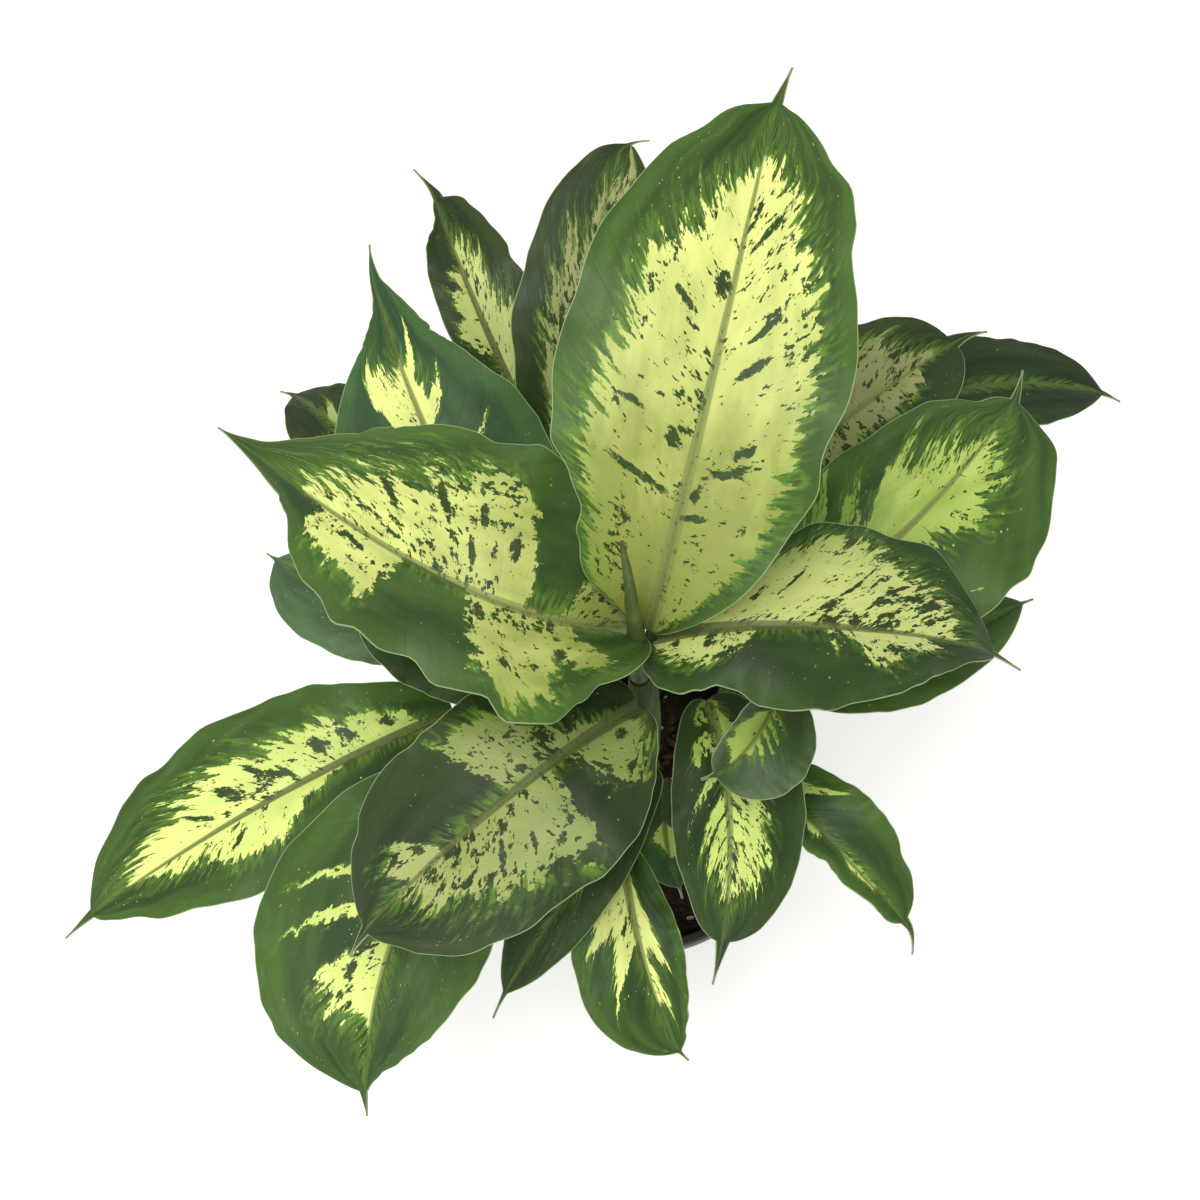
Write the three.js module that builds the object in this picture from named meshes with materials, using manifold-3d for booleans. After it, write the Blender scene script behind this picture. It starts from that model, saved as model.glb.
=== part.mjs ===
// A potted dieffenbachia: a nursery pot with drainage holes, potting soil, five canes standing in
// holes in the soil, and the broad pointed leaves that each cane carries on its own leaf stalks.
// Millimetres, +Z up. The origin is the middle of the pot's underside, on the surface it stands on.

import * as THREE from 'three';
import { mergeVertices } from 'three/addons/utils/BufferGeometryUtils.js';
import Module from 'manifold-3d';

const wasm = await Module();
wasm.setup();

// ---- driving dimensions -------------------------------------------------------------------------

const GAP = 0.3; // left between touching pieces

const POT_HEIGHT = 130;
const POT_FOOT_RADIUS = 56;
const POT_TOP_RADIUS = 76; // of the tapered wall, just under the lip
const POT_LIP_RADIUS = 79;
const POT_LIP_DEPTH = 12;
const POT_WALL = 2;
const POT_FLOOR = 2.6;
const POT_FOOT_EDGE = 2; // bevel where wall and underside meet
const POT_SIDES = 40;
const DRAIN_HOLES = 8;
const DRAIN_HOLE_RADIUS = 5.5;
const DRAIN_CIRCLE_RADIUS = 42;
const DRAIN_SIDES = 10;

const SOIL_TOP = 112;
const SOIL_RELIEF = 1.6; // how far the crumbly top rises and falls
const SOIL_SIDES = 36;
const SOIL_RINGS = 6;
const FACET_INSET = 0.2; // the faces of a faceted wall lie this far inside its corners

const CANE_FOOT = 52; // the cut end of each cane, deep in the soil
const CANE_SIDES = 10;
const CANE_RINGS = 9;
const CANE_NODE_SWELL = 0.05; // each leaf scar stands out by this share of the radius
const CANE_TAPER = 0.18; // share of the radius lost from foot to tip
const CANE_TIP_RADIUS = 1.2;
const CANE_BURIED_LEAN = -0.12; // where the cut end and the bend lie, as shares of the whole lean
const CANE_BEND_LEAN = 0.3;
const SHEATH_FROM = 0.8; // share of the cane where the last sheath starts to close to a point

const BLADE_THICKNESS = 0.8;
const BLADE_TIP_HALF_WIDTH = 0.8;
const BODY_BLUNTNESS = 0.62; // under 1 rounds off both ends of the body's outline
const DRAWN_OUT_FROM = 0.6; // share of the length where the drawn-out tip starts to show
const DRAWN_OUT_WIDTH = 0.14; // its share of the half-width, and how fast it narrows to the end
const DRAWN_OUT_NARROWING = 0.9;
const HEEL_FADE = 12; // the higher, the sooner the blade parts from the width of its stalk
const LOBE_REACH = 0.34; // the rounded lobes at the base reach back by this share of their width
const LOBE_FADE = 7;
const HOOK_FROM = 0.9; // share of the length where the tip starts to bend away
const MARGIN_PHASE = [0.15, 0.6]; // in waves, so that the two margins ripple unlike each other
const RIB_DEPTH = 1.1; // the midrib stands out below by this many stalk radii
const RIB_WIDEST_SHARE = 0.25;
const RIB_EDGE = 0.3;

const STALK_SIDES = 6;
const STALK_STEPS = 6;
const STALK_RUN_IN = 0.07; // share of the blade that the stalk runs on under
const STALK_DIP = 0.75; // its axis lies this many radii below the blade
const STALK_RISE = 0.35; // how far each end keeps its upright course, as a share of the rise
const STALK_OUTWARD = 0.5;
const STALK_RUN_UP = 0.12; // how far it comes in line with the midrib, as a share of its span
const STALK_TAPER = [1.25, 0.85];

const FINE_ROWS = 13;
const PLAIN_ROWS = 10;
const FINE_COLUMNS = [1, 0.7, 0.36];
const PLAIN_COLUMNS = [1, 0.55];

// Each cane leans from its place at soil height (foot) to the pointed tip of its sheath (top).
const CANES = {
  centre: { foot: [3, 3], top: [-3, 13, 270], radius: 8, flatTop: 5 },
  back: { foot: [-29, 32], top: [-52, 82, 222], radius: 7.5 },
  left: { foot: [-37, -7], top: [-60, 3, 196], radius: 7 },
  front: { foot: [24, -40], top: [31, -27, 172], radius: 7 },
  right: { foot: [38, 20], top: [50, 50, 222], radius: 7.5 },
};

// The rolled new leaf that stands on the middle cane.
const NEW_LEAF = { top: [-12, 27, 374], radius: 4.6, tipRadius: 0.9, taper: 1.6, steps: 8, sides: 8 };

// One entry a leaf. base, middle and tip are points of its midrib. halfWidth and fold are given as
// [left, right] seen from the stalk towards the tip: how wide each half is, and how many degrees it
// stands up from the midrib. widest says how far along the body each half is widest, or half-way
// where it isn't given. cup bends the margins down, waves counts the ripples along a margin and
// ripple is their height. tail is the share of the length that the drawn-out tip takes, and hook is
// how far that tip is bent away. joins is the height at which the stalk leaves its cane, and stalk
// its radius. fine marks the large leaves that show best.
const LEAVES = {
  centre_1: {
    cane: 'centre', joins: 212, stalk: 3.4,
    base: [1, 25, 308], middle: [20, 81, 385], tip: [56, 218, 408],
    halfWidth: [58, 56], widest: [0.56, 0.54], fold: [13, 13], cup: 0.3,
    waves: 3.2, ripple: 2.6, tail: 0.05, hook: [4, 0, 6], fine: true,
  },
  centre_2: {
    cane: 'centre', joins: 186, stalk: 3.2,
    base: [-14, 18, 300], middle: [-80, 24, 336], tip: [-186, 117, 300],
    halfWidth: [45, 73], widest: [0.5, 0.56], fold: [20, 9], cup: 0.35,
    waves: 3.6, ripple: 3.6, tail: 0.17, hook: [-4, 0, 6], fine: true,
  },
  centre_3: {
    cane: 'centre', joins: 196, stalk: 3.2,
    base: [-4, -5, 283], middle: [-60, -49, 292], tip: [-124, -100, 240],
    halfWidth: [43, 46], widest: [0.5, 0.5], fold: [12, 14], cup: 0.5,
    waves: 3.2, ripple: 2.4, tail: 0.06, hook: [0, -4, -3], fine: true,
  },
  centre_4: {
    cane: 'centre', joins: 204, stalk: 3.2,
    base: [7, 12, 300], middle: [66, 14, 322], tip: [159, 15, 272],
    halfWidth: [50, 35], widest: [0.68, 0.46], fold: [8, 10], cup: 0.35,
    waves: 3.6, ripple: 3.2, tail: 0.04, hook: [10, -5, -10], fine: true,
  },
  centre_5: {
    cane: 'centre', joins: 152, stalk: 2.2,
    base: [4, -11, 213], middle: [-31, -63, 209], tip: [-69, -115, 165],
    halfWidth: [18, 22], fold: [12, 14], cup: 0.4,
    waves: 2.6, ripple: 1.4, tail: 0.07, hook: [-1, -4, -3],
  },
  centre_6: {
    cane: 'centre', joins: 132, stalk: 2,
    base: [12, -6, 178], middle: [11, -35, 178], tip: [19, -60, 164],
    halfWidth: [15, 15], fold: [12, 12], cup: 0.4,
    waves: 2, ripple: 1, tail: 0.07, hook: [0, -2, -2],
  },
  back_1: {
    cane: 'back', joins: 190, stalk: 2.6,
    base: [-39, 124, 256], middle: [-26, 181, 310], tip: [2, 246, 332],
    halfWidth: [31, 31], fold: [16, 16], cup: 0.3,
    waves: 3, ripple: 2, tail: 0.05, hook: [10, -3, -6], fine: true,
  },
  back_2: {
    cane: 'back', joins: 184, stalk: 2.6,
    base: [-65, 71, 262], middle: [-95, 116, 294], tip: [-126, 213, 300],
    halfWidth: [42, 46], widest: [0.46, 0.46], fold: [14, 10], cup: 0.4,
    waves: 2.6, ripple: 2.2, tail: 0.22, hook: [3, 2, 6], fine: true,
  },
  back_3: {
    cane: 'back', joins: 156, stalk: 2.4,
    base: [-46, 133, 240], middle: [-80, 198, 282], tip: [-110, 268, 285],
    halfWidth: [18, 28], fold: [16, 16], cup: 0.3,
    waves: 3, ripple: 1.8, tail: 0.13, hook: [-6, 2, 3],
  },
  back_4: {
    cane: 'back', joins: 146, stalk: 2.2,
    base: [-110, 121, 235], middle: [-144, 149, 242], tip: [-179, 180, 225],
    halfWidth: [24, 24], fold: [12, 12], cup: 0.4,
    waves: 2.4, ripple: 1.6, tail: 0.08, hook: [-4, 0, 0],
  },
  back_5: {
    cane: 'back', joins: 132, stalk: 2.2,
    base: [-86, 60, 196], middle: [-142, 81, 198], tip: [-189, 112, 180],
    halfWidth: [31, 30], fold: [12, 12], cup: 0.5,
    waves: 2.4, ripple: 1.8, tail: 0.05, hook: [-3, 2, 0],
  },
  left_1: {
    cane: 'left', joins: 146, stalk: 2.6,
    base: [-73, -20, 226], middle: [-109, -92, 224], tip: [-123, -158, 172],
    halfWidth: [38, 61], fold: [14, 6], cup: 0.4,
    waves: 3.2, ripple: 2.4, tail: 0.06, hook: [0, -3, -3], fine: true,
  },
  left_2: {
    cane: 'left', joins: 130, stalk: 2.6,
    base: [-88, 15, 215], middle: [-169, -27, 216], tip: [-267, -80, 172],
    halfWidth: [40, 43], fold: [14, 14], cup: 0.4,
    waves: 3, ripple: 2.4, tail: 0.06, hook: [-3, -4, -3], fine: true,
  },
  left_3: {
    cane: 'left', joins: 174, stalk: 2.2,
    base: [-56, 12, 248], middle: [-96, 38, 250], tip: [-138, 62, 238],
    halfWidth: [24, 22], fold: [10, 10], cup: 0.4,
    waves: 2, ripple: 1.4, tail: 0.07, hook: [-3, 2, -2],
  },
  front_1: {
    cane: 'front', joins: 146, stalk: 2.2,
    base: [55, -16, 215], middle: [87, -52, 220], tip: [121, -90, 186],
    halfWidth: [27, 13], fold: [20, 22], cup: 0.3,
    waves: 2.4, ripple: 1.4, tail: 0.13, hook: [-3, -3, -8],
  },
  front_2: {
    cane: 'front', joins: 134, stalk: 2.2,
    base: [-10, -44, 196], middle: [0, -96, 194], tip: [20, -134, 168],
    halfWidth: [20, 32], fold: [16, 12], cup: 0.4,
    waves: 2.6, ripple: 1.8, tail: 0.05, hook: [3, -1, -3],
  },
  right_1: {
    cane: 'right', joins: 190, stalk: 2.6,
    base: [68, 47, 262], middle: [117, 78, 290], tip: [172, 155, 285],
    halfWidth: [42, 49], widest: [0.45, 0.52], fold: [12, 10], cup: 0.4,
    waves: 3.2, ripple: 2.8, tail: 0.07, hook: [-3, 4, 5], fine: true,
  },
  right_2: {
    cane: 'right', joins: 176, stalk: 2.4,
    base: [69, 124, 250], middle: [107, 149, 272], tip: [163, 187, 268],
    halfWidth: [42, 33], fold: [12, 12], cup: 0.4,
    waves: 2.6, ripple: 1.8, tail: 0.12, hook: [4, -2, 0],
  },
  right_3: {
    cane: 'right', joins: 150, stalk: 2.2,
    base: [103, 160, 228], middle: [172, 176, 238], tip: [242, 180, 215],
    halfWidth: [28, 28], fold: [12, 12], cup: 0.4,
    waves: 2.6, ripple: 1.6, tail: 0.07, hook: [3, -1, -3],
  },
  right_4: {
    cane: 'right', joins: 136, stalk: 2.2,
    base: [66, 18, 246], middle: [115, 32, 250], tip: [180, 64, 234],
    halfWidth: [25, 25], fold: [10, 10], cup: 0.4,
    waves: 2.6, ripple: 1.6, tail: 0.04, hook: [2, 1, -3],
  },
  right_5: {
    cane: 'right', joins: 172, stalk: 1.9,
    base: [57, 9, 264], middle: [43, -17, 267], tip: [23, -28, 254],
    halfWidth: [26, 18], fold: [8, 74], cup: 0.3,
    waves: 2, ripple: 1, tail: 0.08, hook: [-3, 0, -3],
  },
  right_6: {
    cane: 'right', joins: 148, stalk: 2.6,
    base: [27, 11, 245], middle: [36, -46, 237], tip: [31, -102, 178],
    halfWidth: [34, 26], fold: [12, 14], cup: 0.4,
    waves: 3, ripple: 2, tail: 0.12, hook: [-1, -4, -4], fine: true,
  },
};

// ---- finishes -----------------------------------------------------------------------------------

const FINISH = {
  pot: { color: 0x1d1c1b, roughness: 0.55, metalness: 0 },
  soil: { color: 0x241c15, roughness: 0.95, metalness: 0 },
  cane: { color: 0x4c6b38, roughness: 0.5, metalness: 0 },
  leaf: { color: 0x57743a, roughness: 0.42, metalness: 0 },
  newLeaf: { color: 0x8a9c63, roughness: 0.45, metalness: 0 },
};

// ---- solids and vectors -------------------------------------------------------------------------

const UP = new THREE.Vector3(0, 0, 1);
const MERGE_DISTANCE = 1e-4;

const vector = (point) => new THREE.Vector3(...point);

function closedGeometry(points, triangles) {
  const geometry = new THREE.BufferGeometry();
  const positions = points.flatMap((point) => point.toArray());
  geometry.setAttribute('position', new THREE.Float32BufferAttribute(positions, 3));
  geometry.setIndex(triangles.flat());
  return geometry;
}

function solidOf(geometry) {
  const bare = geometry.clone();
  bare.deleteAttribute('normal');
  bare.deleteAttribute('uv');
  const merged = mergeVertices(bare, MERGE_DISTANCE);
  const index = merged.index.array;
  const triVerts = [];
  for (let at = 0; at < index.length; at += 3) {
    const [a, b, c] = [index[at], index[at + 1], index[at + 2]];
    if (a !== b && b !== c && c !== a) triVerts.push(a, b, c); // a fan at the axis has empty corners
  }
  return new wasm.Manifold(new wasm.Mesh({
    numProp: 3,
    vertProperties: new Float32Array(merged.attributes.position.array),
    triVerts: new Uint32Array(triVerts),
  }));
}

function geometryOf(solid) {
  const { numProp, vertProperties, triVerts } = solid.getMesh();
  const positions = [];
  for (let at = 0; at < vertProperties.length; at += numProp) {
    positions.push(vertProperties[at], vertProperties[at + 1], vertProperties[at + 2]);
  }
  const geometry = new THREE.BufferGeometry();
  geometry.setAttribute('position', new THREE.Float32BufferAttribute(positions, 3));
  geometry.setIndex([...triVerts]);
  geometry.computeVertexNormals();
  return geometry;
}

// Joins rings of points, each counter-clockwise seen from the end of the loft, and caps both ends.
function loft(rings) {
  const sides = rings[0].length;
  const points = rings.flat();
  const triangles = [];
  for (let ring = 0; ring < rings.length - 1; ring += 1) {
    for (let side = 0; side < sides; side += 1) {
      const near = ring * sides + side;
      const next = ring * sides + ((side + 1) % sides);
      triangles.push([near, next, next + sides], [near, next + sides, near + sides]);
    }
  }
  const last = (rings.length - 1) * sides;
  const startMiddle = points.push(middleOf(rings[0])) - 1;
  const endMiddle = points.push(middleOf(rings[rings.length - 1])) - 1;
  for (let side = 0; side < sides; side += 1) {
    const next = (side + 1) % sides;
    triangles.push([startMiddle, next, side], [endMiddle, last + side, last + next]);
  }
  return closedGeometry(points, triangles);
}

function middleOf(ring) {
  const sum = ring.reduce((total, point) => total.add(point), new THREE.Vector3());
  return sum.divideScalar(ring.length);
}

// Rings round a curve; radiusAt takes the share of the way along it.
function ringsAlong(curve, steps, sides, radiusAt) {
  const frames = curve.computeFrenetFrames(steps, false);
  const rings = [];
  for (let step = 0; step <= steps; step += 1) {
    const share = step / steps;
    const centre = curve.getPointAt(share);
    const radius = radiusAt(share);
    const ring = [];
    for (let side = 0; side < sides; side += 1) {
      const angle = (2 * Math.PI * side) / sides;
      ring.push(centre.clone()
        .addScaledVector(frames.normals[step], radius * Math.cos(angle))
        .addScaledVector(frames.binormals[step], radius * Math.sin(angle)));
    }
    rings.push(ring);
  }
  return rings;
}

// ---- pot ----------------------------------------------------------------------------------------

const wallSlope = (POT_TOP_RADIUS - POT_FOOT_RADIUS) / POT_HEIGHT;
const wallRadiusAt = (height) => POT_FOOT_RADIUS + wallSlope * height;

function turned(profile, sides) {
  const outline = profile.map(([radius, height]) => new THREE.Vector2(radius, height));
  return new THREE.LatheGeometry(outline, sides).rotateX(Math.PI / 2);
}

function pot() {
  const lipFoot = POT_HEIGHT - POT_LIP_DEPTH;
  const innerFoot = wallRadiusAt(POT_FLOOR) - POT_WALL;
  const shell = solidOf(turned([
    [0, 0],
    [POT_FOOT_RADIUS - POT_FOOT_EDGE, 0],
    [wallRadiusAt(POT_FOOT_EDGE), POT_FOOT_EDGE],
    [wallRadiusAt(lipFoot), lipFoot],
    [POT_LIP_RADIUS, lipFoot + 1],
    [POT_LIP_RADIUS, POT_HEIGHT - 1],
    [POT_LIP_RADIUS - 1, POT_HEIGHT],
    [wallRadiusAt(POT_HEIGHT) - POT_WALL, POT_HEIGHT],
    [innerFoot, POT_FLOOR],
    [0, POT_FLOOR],
  ], POT_SIDES));
  const drain = new THREE.CylinderGeometry(
    DRAIN_HOLE_RADIUS,
    DRAIN_HOLE_RADIUS,
    4 * POT_FLOOR,
    DRAIN_SIDES,
  ).rotateX(Math.PI / 2);
  let drained = shell;
  for (let hole = 0; hole < DRAIN_HOLES; hole += 1) {
    const angle = (2 * Math.PI * (hole + 0.5)) / DRAIN_HOLES;
    const cutter = drain.clone().translate(
      DRAIN_CIRCLE_RADIUS * Math.cos(angle),
      DRAIN_CIRCLE_RADIUS * Math.sin(angle),
      0,
    );
    drained = drained.subtract(solidOf(cutter));
  }
  return drained;
}

// ---- canes --------------------------------------------------------------------------------------

function caneCurve({ foot, top }) {
  const soilPoint = new THREE.Vector3(foot[0], foot[1], SOIL_TOP);
  const tip = vector(top);
  const lean = new THREE.Vector3(tip.x - soilPoint.x, tip.y - soilPoint.y, 0);
  const buried = soilPoint.clone().addScaledVector(lean, CANE_BURIED_LEAN).setZ(CANE_FOOT);
  const bend = soilPoint.clone().addScaledVector(lean, CANE_BEND_LEAN).setZ((SOIL_TOP + tip.z) / 2);
  return new THREE.QuadraticBezierCurve3(buried, bend, tip);
}

// Thick at the foot, ringed by leaf scars, and closed above by the pointed sheath of the last leaf.
function cane(spec, grow = 0) {
  const radiusAt = (share) => {
    const swell = 1 + CANE_NODE_SWELL * Math.cos(share * CANE_RINGS * Math.PI);
    const stem = spec.radius * (1 - CANE_TAPER * share) * swell;
    if (share <= SHEATH_FROM) return stem + grow;
    const endRadius = spec.flatTop ?? CANE_TIP_RADIUS;
    return THREE.MathUtils.lerp(stem, endRadius, (share - SHEATH_FROM) / (1 - SHEATH_FROM)) + grow;
  };
  return solidOf(loft(ringsAlong(caneCurve(spec), CANE_RINGS, CANE_SIDES, radiusAt)));
}

function newLeaf(grow = 0) {
  const start = vector(CANES.centre.top);
  const end = vector(NEW_LEAF.top);
  const along = caneCurve(CANES.centre).getTangentAt(1);
  start.addScaledVector(along, GAP);
  const bend = start.clone().addScaledVector(along, start.distanceTo(end) * 0.5);
  const curve = new THREE.QuadraticBezierCurve3(start, bend, end);
  const { radius, tipRadius, taper, steps, sides } = NEW_LEAF;
  const radiusAt = (share) => grow + THREE.MathUtils.lerp(radius, tipRadius, share ** taper);
  return solidOf(loft(ringsAlong(curve, steps, sides, radiusAt)));
}

// ---- soil ---------------------------------------------------------------------------------------

function soilHeight(x, y) {
  const broad = Math.sin(x * 0.11 + 1.3) * Math.cos(y * 0.09 - 0.4);
  const crumb = Math.sin(x * 0.47 + y * 0.31) * Math.cos(y * 0.53 - x * 0.22);
  return SOIL_TOP + SOIL_RELIEF * (0.6 * broad + 0.4 * crumb);
}

// The soil fills the pot from its floor to the crumbly top, with a plain hole for each cane.
function soil(caneSpecs) {
  const floor = POT_FLOOR + GAP;
  const radiusAt = (height) => wallRadiusAt(height) - POT_WALL - GAP - FACET_INSET;
  const ringAt = (radius, heightAt) => {
    const ring = [];
    for (let side = 0; side < SOIL_SIDES; side += 1) {
      const angle = (2 * Math.PI * side) / SOIL_SIDES;
      const [x, y] = [radius * Math.cos(angle), radius * Math.sin(angle)];
      ring.push(new THREE.Vector3(x, y, heightAt(x, y)));
    }
    return ring;
  };
  const rings = [ringAt(radiusAt(floor), () => floor)];
  const edge = radiusAt(SOIL_TOP - SOIL_RELIEF);
  for (let step = 0; step < SOIL_RINGS; step += 1) {
    rings.push(ringAt(edge * (1 - step / SOIL_RINGS), soilHeight));
  }
  let bed = solidOf(loft(rings));
  for (const spec of caneSpecs) bed = bed.subtract(cane(spec, GAP));
  return bed;
}

// ---- leaves -------------------------------------------------------------------------------------

// Share of the full half-width at share v of the way from stalk to tip: blunt at the base, widest
// where the leaf says along the blade's body, and drawn out at the tip.
function outlineAt(v, leaf, half) {
  const { tail, widest = [0.5, 0.5] } = leaf;
  const x = Math.min(v / (1 - tail), 1) ** (Math.log(0.5) / Math.log(widest[half]));
  const body = (4 * x * (1 - x)) ** BODY_BLUNTNESS;
  const drawnOut = THREE.MathUtils.smoothstep(v, DRAWN_OUT_FROM, 1 - tail)
    * Math.min(DRAWN_OUT_WIDTH, (1 - v) * DRAWN_OUT_NARROWING);
  return body * (1 - drawnOut) + drawnOut;
}

function midribCurve({ base, middle, tip, hook }) {
  const [start, through] = [vector(base), vector(middle)];
  const end = vector(tip).sub(vector(hook));
  const handle = through.clone().multiplyScalar(2).sub(start.clone().add(end).multiplyScalar(0.5));
  return new THREE.QuadraticBezierCurve3(start, handle, end);
}

// A point of the blade's upper face. side is 1 on the left half and -1 on the right, and out goes
// from 0 at the midrib to 1 at the margin.
function bladePoint(leaf, curve, v, side, out) {
  const along = curve.getTangent(v);
  const left = new THREE.Vector3().crossVectors(UP, along).normalize();
  const normal = new THREE.Vector3().crossVectors(along, left);
  const half = side > 0 ? 0 : 1;
  const outline = outlineAt(v, leaf, half);
  const width = leaf.halfWidth[half] * outline + leaf.stalk * (1 - v) ** HEEL_FADE;
  const reach = out * Math.max(width, BLADE_TIP_HALF_WIDTH);
  const fold = THREE.MathUtils.degToRad(leaf.fold[half]);
  const wave = Math.sin(2 * Math.PI * (leaf.waves * v + MARGIN_PHASE[half]));
  const rise = reach * Math.sin(fold)
    - (leaf.cup * reach * reach) / (2 * leaf.halfWidth[half])
    + leaf.ripple * out ** 3 * outline * wave;
  const lobe = LOBE_REACH * reach * (1 - v) ** LOBE_FADE;
  const hooked = Math.max(0, (v - HOOK_FROM) / (1 - HOOK_FROM)) ** 2;
  return curve.getPoint(v)
    .addScaledVector(left, side * reach * Math.cos(fold))
    .addScaledVector(normal, rise)
    .addScaledVector(along, -lobe)
    .addScaledVector(vector(leaf.hook), hooked);
}

// The blade is a thin closed shell on a grid. Its lower face stands out along the midrib.
function blade(leaf) {
  const rows = leaf.fine ? FINE_ROWS : PLAIN_ROWS;
  const shares = leaf.fine ? FINE_COLUMNS : PLAIN_COLUMNS;
  const curve = midribCurve(leaf);
  const columns = [
    ...shares.map((out) => [-1, out]),
    [-1, 'rib'],
    [1, 0],
    [1, 'rib'],
    ...shares.toReversed().map((out) => [1, out]),
  ];
  const upper = [];
  const lower = [];
  for (let row = 0; row <= rows; row += 1) {
    const v = row / rows;
    const line = columns.map(([side, out]) => {
      const half = side > 0 ? 0 : 1;
      const width = leaf.halfWidth[half] * outlineAt(v, leaf, half) + BLADE_TIP_HALF_WIDTH;
      const rib = Math.min(RIB_WIDEST_SHARE, (leaf.stalk * (1 - v) + RIB_EDGE) / width);
      return bladePoint(leaf, curve, v, side, out === 'rib' ? rib : out);
    });
    upper.push(line);
  }
  for (let row = 0; row <= rows; row += 1) {
    const v = row / rows;
    const line = upper[row].map((point, column) => {
      const ahead = upper[Math.min(row + 1, rows)][column];
      const behind = upper[Math.max(row - 1, 0)][column];
      const toLeft = upper[row][Math.min(column + 1, columns.length - 1)];
      const toRight = upper[row][Math.max(column - 1, 0)];
      const normal = ahead.clone().sub(behind).cross(toLeft.clone().sub(toRight)).normalize();
      const isMidrib = columns[column][1] === 0;
      const depth = BLADE_THICKNESS + (isMidrib ? leaf.stalk * RIB_DEPTH * (1 - v) : 0);
      return point.clone().addScaledVector(normal, -depth);
    });
    lower.push(line);
  }
  const points = [...upper.flat(), ...lower.flat()];
  const across = columns.length;
  const under = (rows + 1) * across;
  const triangles = [];
  const border = [];
  for (let row = 0; row < rows; row += 1) {
    for (let column = 0; column < across - 1; column += 1) {
      const a = row * across + column;
      const [b, c, d] = [a + across, a + across + 1, a + 1];
      triangles.push([a, b, c], [a, c, d]);
      triangles.push([a + under, c + under, b + under], [a + under, d + under, c + under]);
    }
  }
  for (let row = 0; row < rows; row += 1) border.push(row * across);
  for (let column = 0; column < across - 1; column += 1) border.push(rows * across + column);
  for (let row = rows; row > 0; row -= 1) border.push(row * across + across - 1);
  for (let column = across - 1; column > 0; column -= 1) border.push(column);
  border.forEach((from, at) => {
    const to = border[(at + 1) % border.length];
    triangles.push([to, from, from + under], [to, from + under, to + under]);
  });
  return solidOf(closedGeometry(points, triangles));
}

function pointAtHeight(curve, height) {
  const samples = curve.getPoints(60);
  return samples.find((point) => point.z >= height) ?? samples.at(-1);
}

// The stalk leaves its cane along it, arches out, and runs on under the foot of the blade.
function stalk(leaf) {
  const ribCurve = midribCurve(leaf);
  const start = pointAtHeight(caneCurve(CANES[leaf.cane]), leaf.joins);
  const dip = leaf.stalk * STALK_DIP;
  const seat = ribCurve.getPoint(0).addScaledVector(UP, -dip);
  const inner = ribCurve.getPoint(STALK_RUN_IN).addScaledVector(UP, -dip);
  const along = ribCurve.getTangent(0);
  const span = start.distanceTo(seat);
  const rise = seat.z - start.z;
  const outward = seat.clone().sub(start).setZ(0);
  const arch = new THREE.CubicBezierCurve3(
    start,
    start.clone().addScaledVector(UP, rise * STALK_RISE).addScaledVector(outward, STALK_OUTWARD),
    seat.clone().addScaledVector(along, -span * STALK_RUN_UP).addScaledVector(UP, -rise * STALK_RISE),
    seat,
  );
  const through = [...arch.getPoints(STALK_STEPS - 1), inner];
  const curve = new THREE.CatmullRomCurve3(through, false, 'centripetal');
  const radiusAt = (share) => leaf.stalk * THREE.MathUtils.lerp(...STALK_TAPER, share);
  return solidOf(loft(ringsAlong(curve, STALK_STEPS, STALK_SIDES, radiusAt)));
}

function leafSolid(leaf) {
  let clasped = stalk(leaf).subtract(cane(CANES[leaf.cane], GAP));
  if (leaf.cane === 'centre') clasped = clasped.subtract(newLeaf(GAP));
  return blade(leaf).add(clasped);
}

// ---- the plant ----------------------------------------------------------------------------------

const plant = new THREE.Group();

function place(name, solid, finish) {
  const mesh = new THREE.Mesh(geometryOf(solid), new THREE.MeshStandardMaterial(FINISH[finish]));
  mesh.name = name;
  plant.add(mesh);
}

place('pot', pot(), 'pot');
place('soil', soil(Object.values(CANES)), 'soil');
for (const [name, spec] of Object.entries(CANES)) place(`cane_${name}`, cane(spec), 'cane');
place('new_leaf_centre', newLeaf(), 'newLeaf');
for (const [name, leaf] of Object.entries(LEAVES)) place(`leaf_${name}`, leafSolid(leaf), 'leaf');

export default plant;
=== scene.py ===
import math
import random
from contextlib import contextmanager
from functools import cache

import bpy
from mathutils import Matrix, Vector, noise


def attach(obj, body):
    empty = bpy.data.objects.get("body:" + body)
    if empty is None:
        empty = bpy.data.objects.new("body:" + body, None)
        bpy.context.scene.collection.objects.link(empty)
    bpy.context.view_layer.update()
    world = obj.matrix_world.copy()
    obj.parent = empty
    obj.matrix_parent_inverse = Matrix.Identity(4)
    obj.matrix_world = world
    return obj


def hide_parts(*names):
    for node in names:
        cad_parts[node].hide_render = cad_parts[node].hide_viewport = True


# A potted dieffenbachia. The leaves, canes, soil and pot of the frame are replaced by finer ones of
# the same form. Sizes are given in millimetres and turned into metres by MM.

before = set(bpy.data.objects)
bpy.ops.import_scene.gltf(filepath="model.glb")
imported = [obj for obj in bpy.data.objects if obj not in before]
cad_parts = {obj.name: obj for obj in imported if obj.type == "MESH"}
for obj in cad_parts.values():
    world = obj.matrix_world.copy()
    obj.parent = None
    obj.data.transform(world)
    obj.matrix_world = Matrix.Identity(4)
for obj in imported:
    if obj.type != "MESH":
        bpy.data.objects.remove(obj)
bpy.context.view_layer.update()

MM = 0.001
UP = Vector((0, 0, 1))
rng = random.Random(7)

# ---- driving dimensions, as in the solids ----

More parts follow.
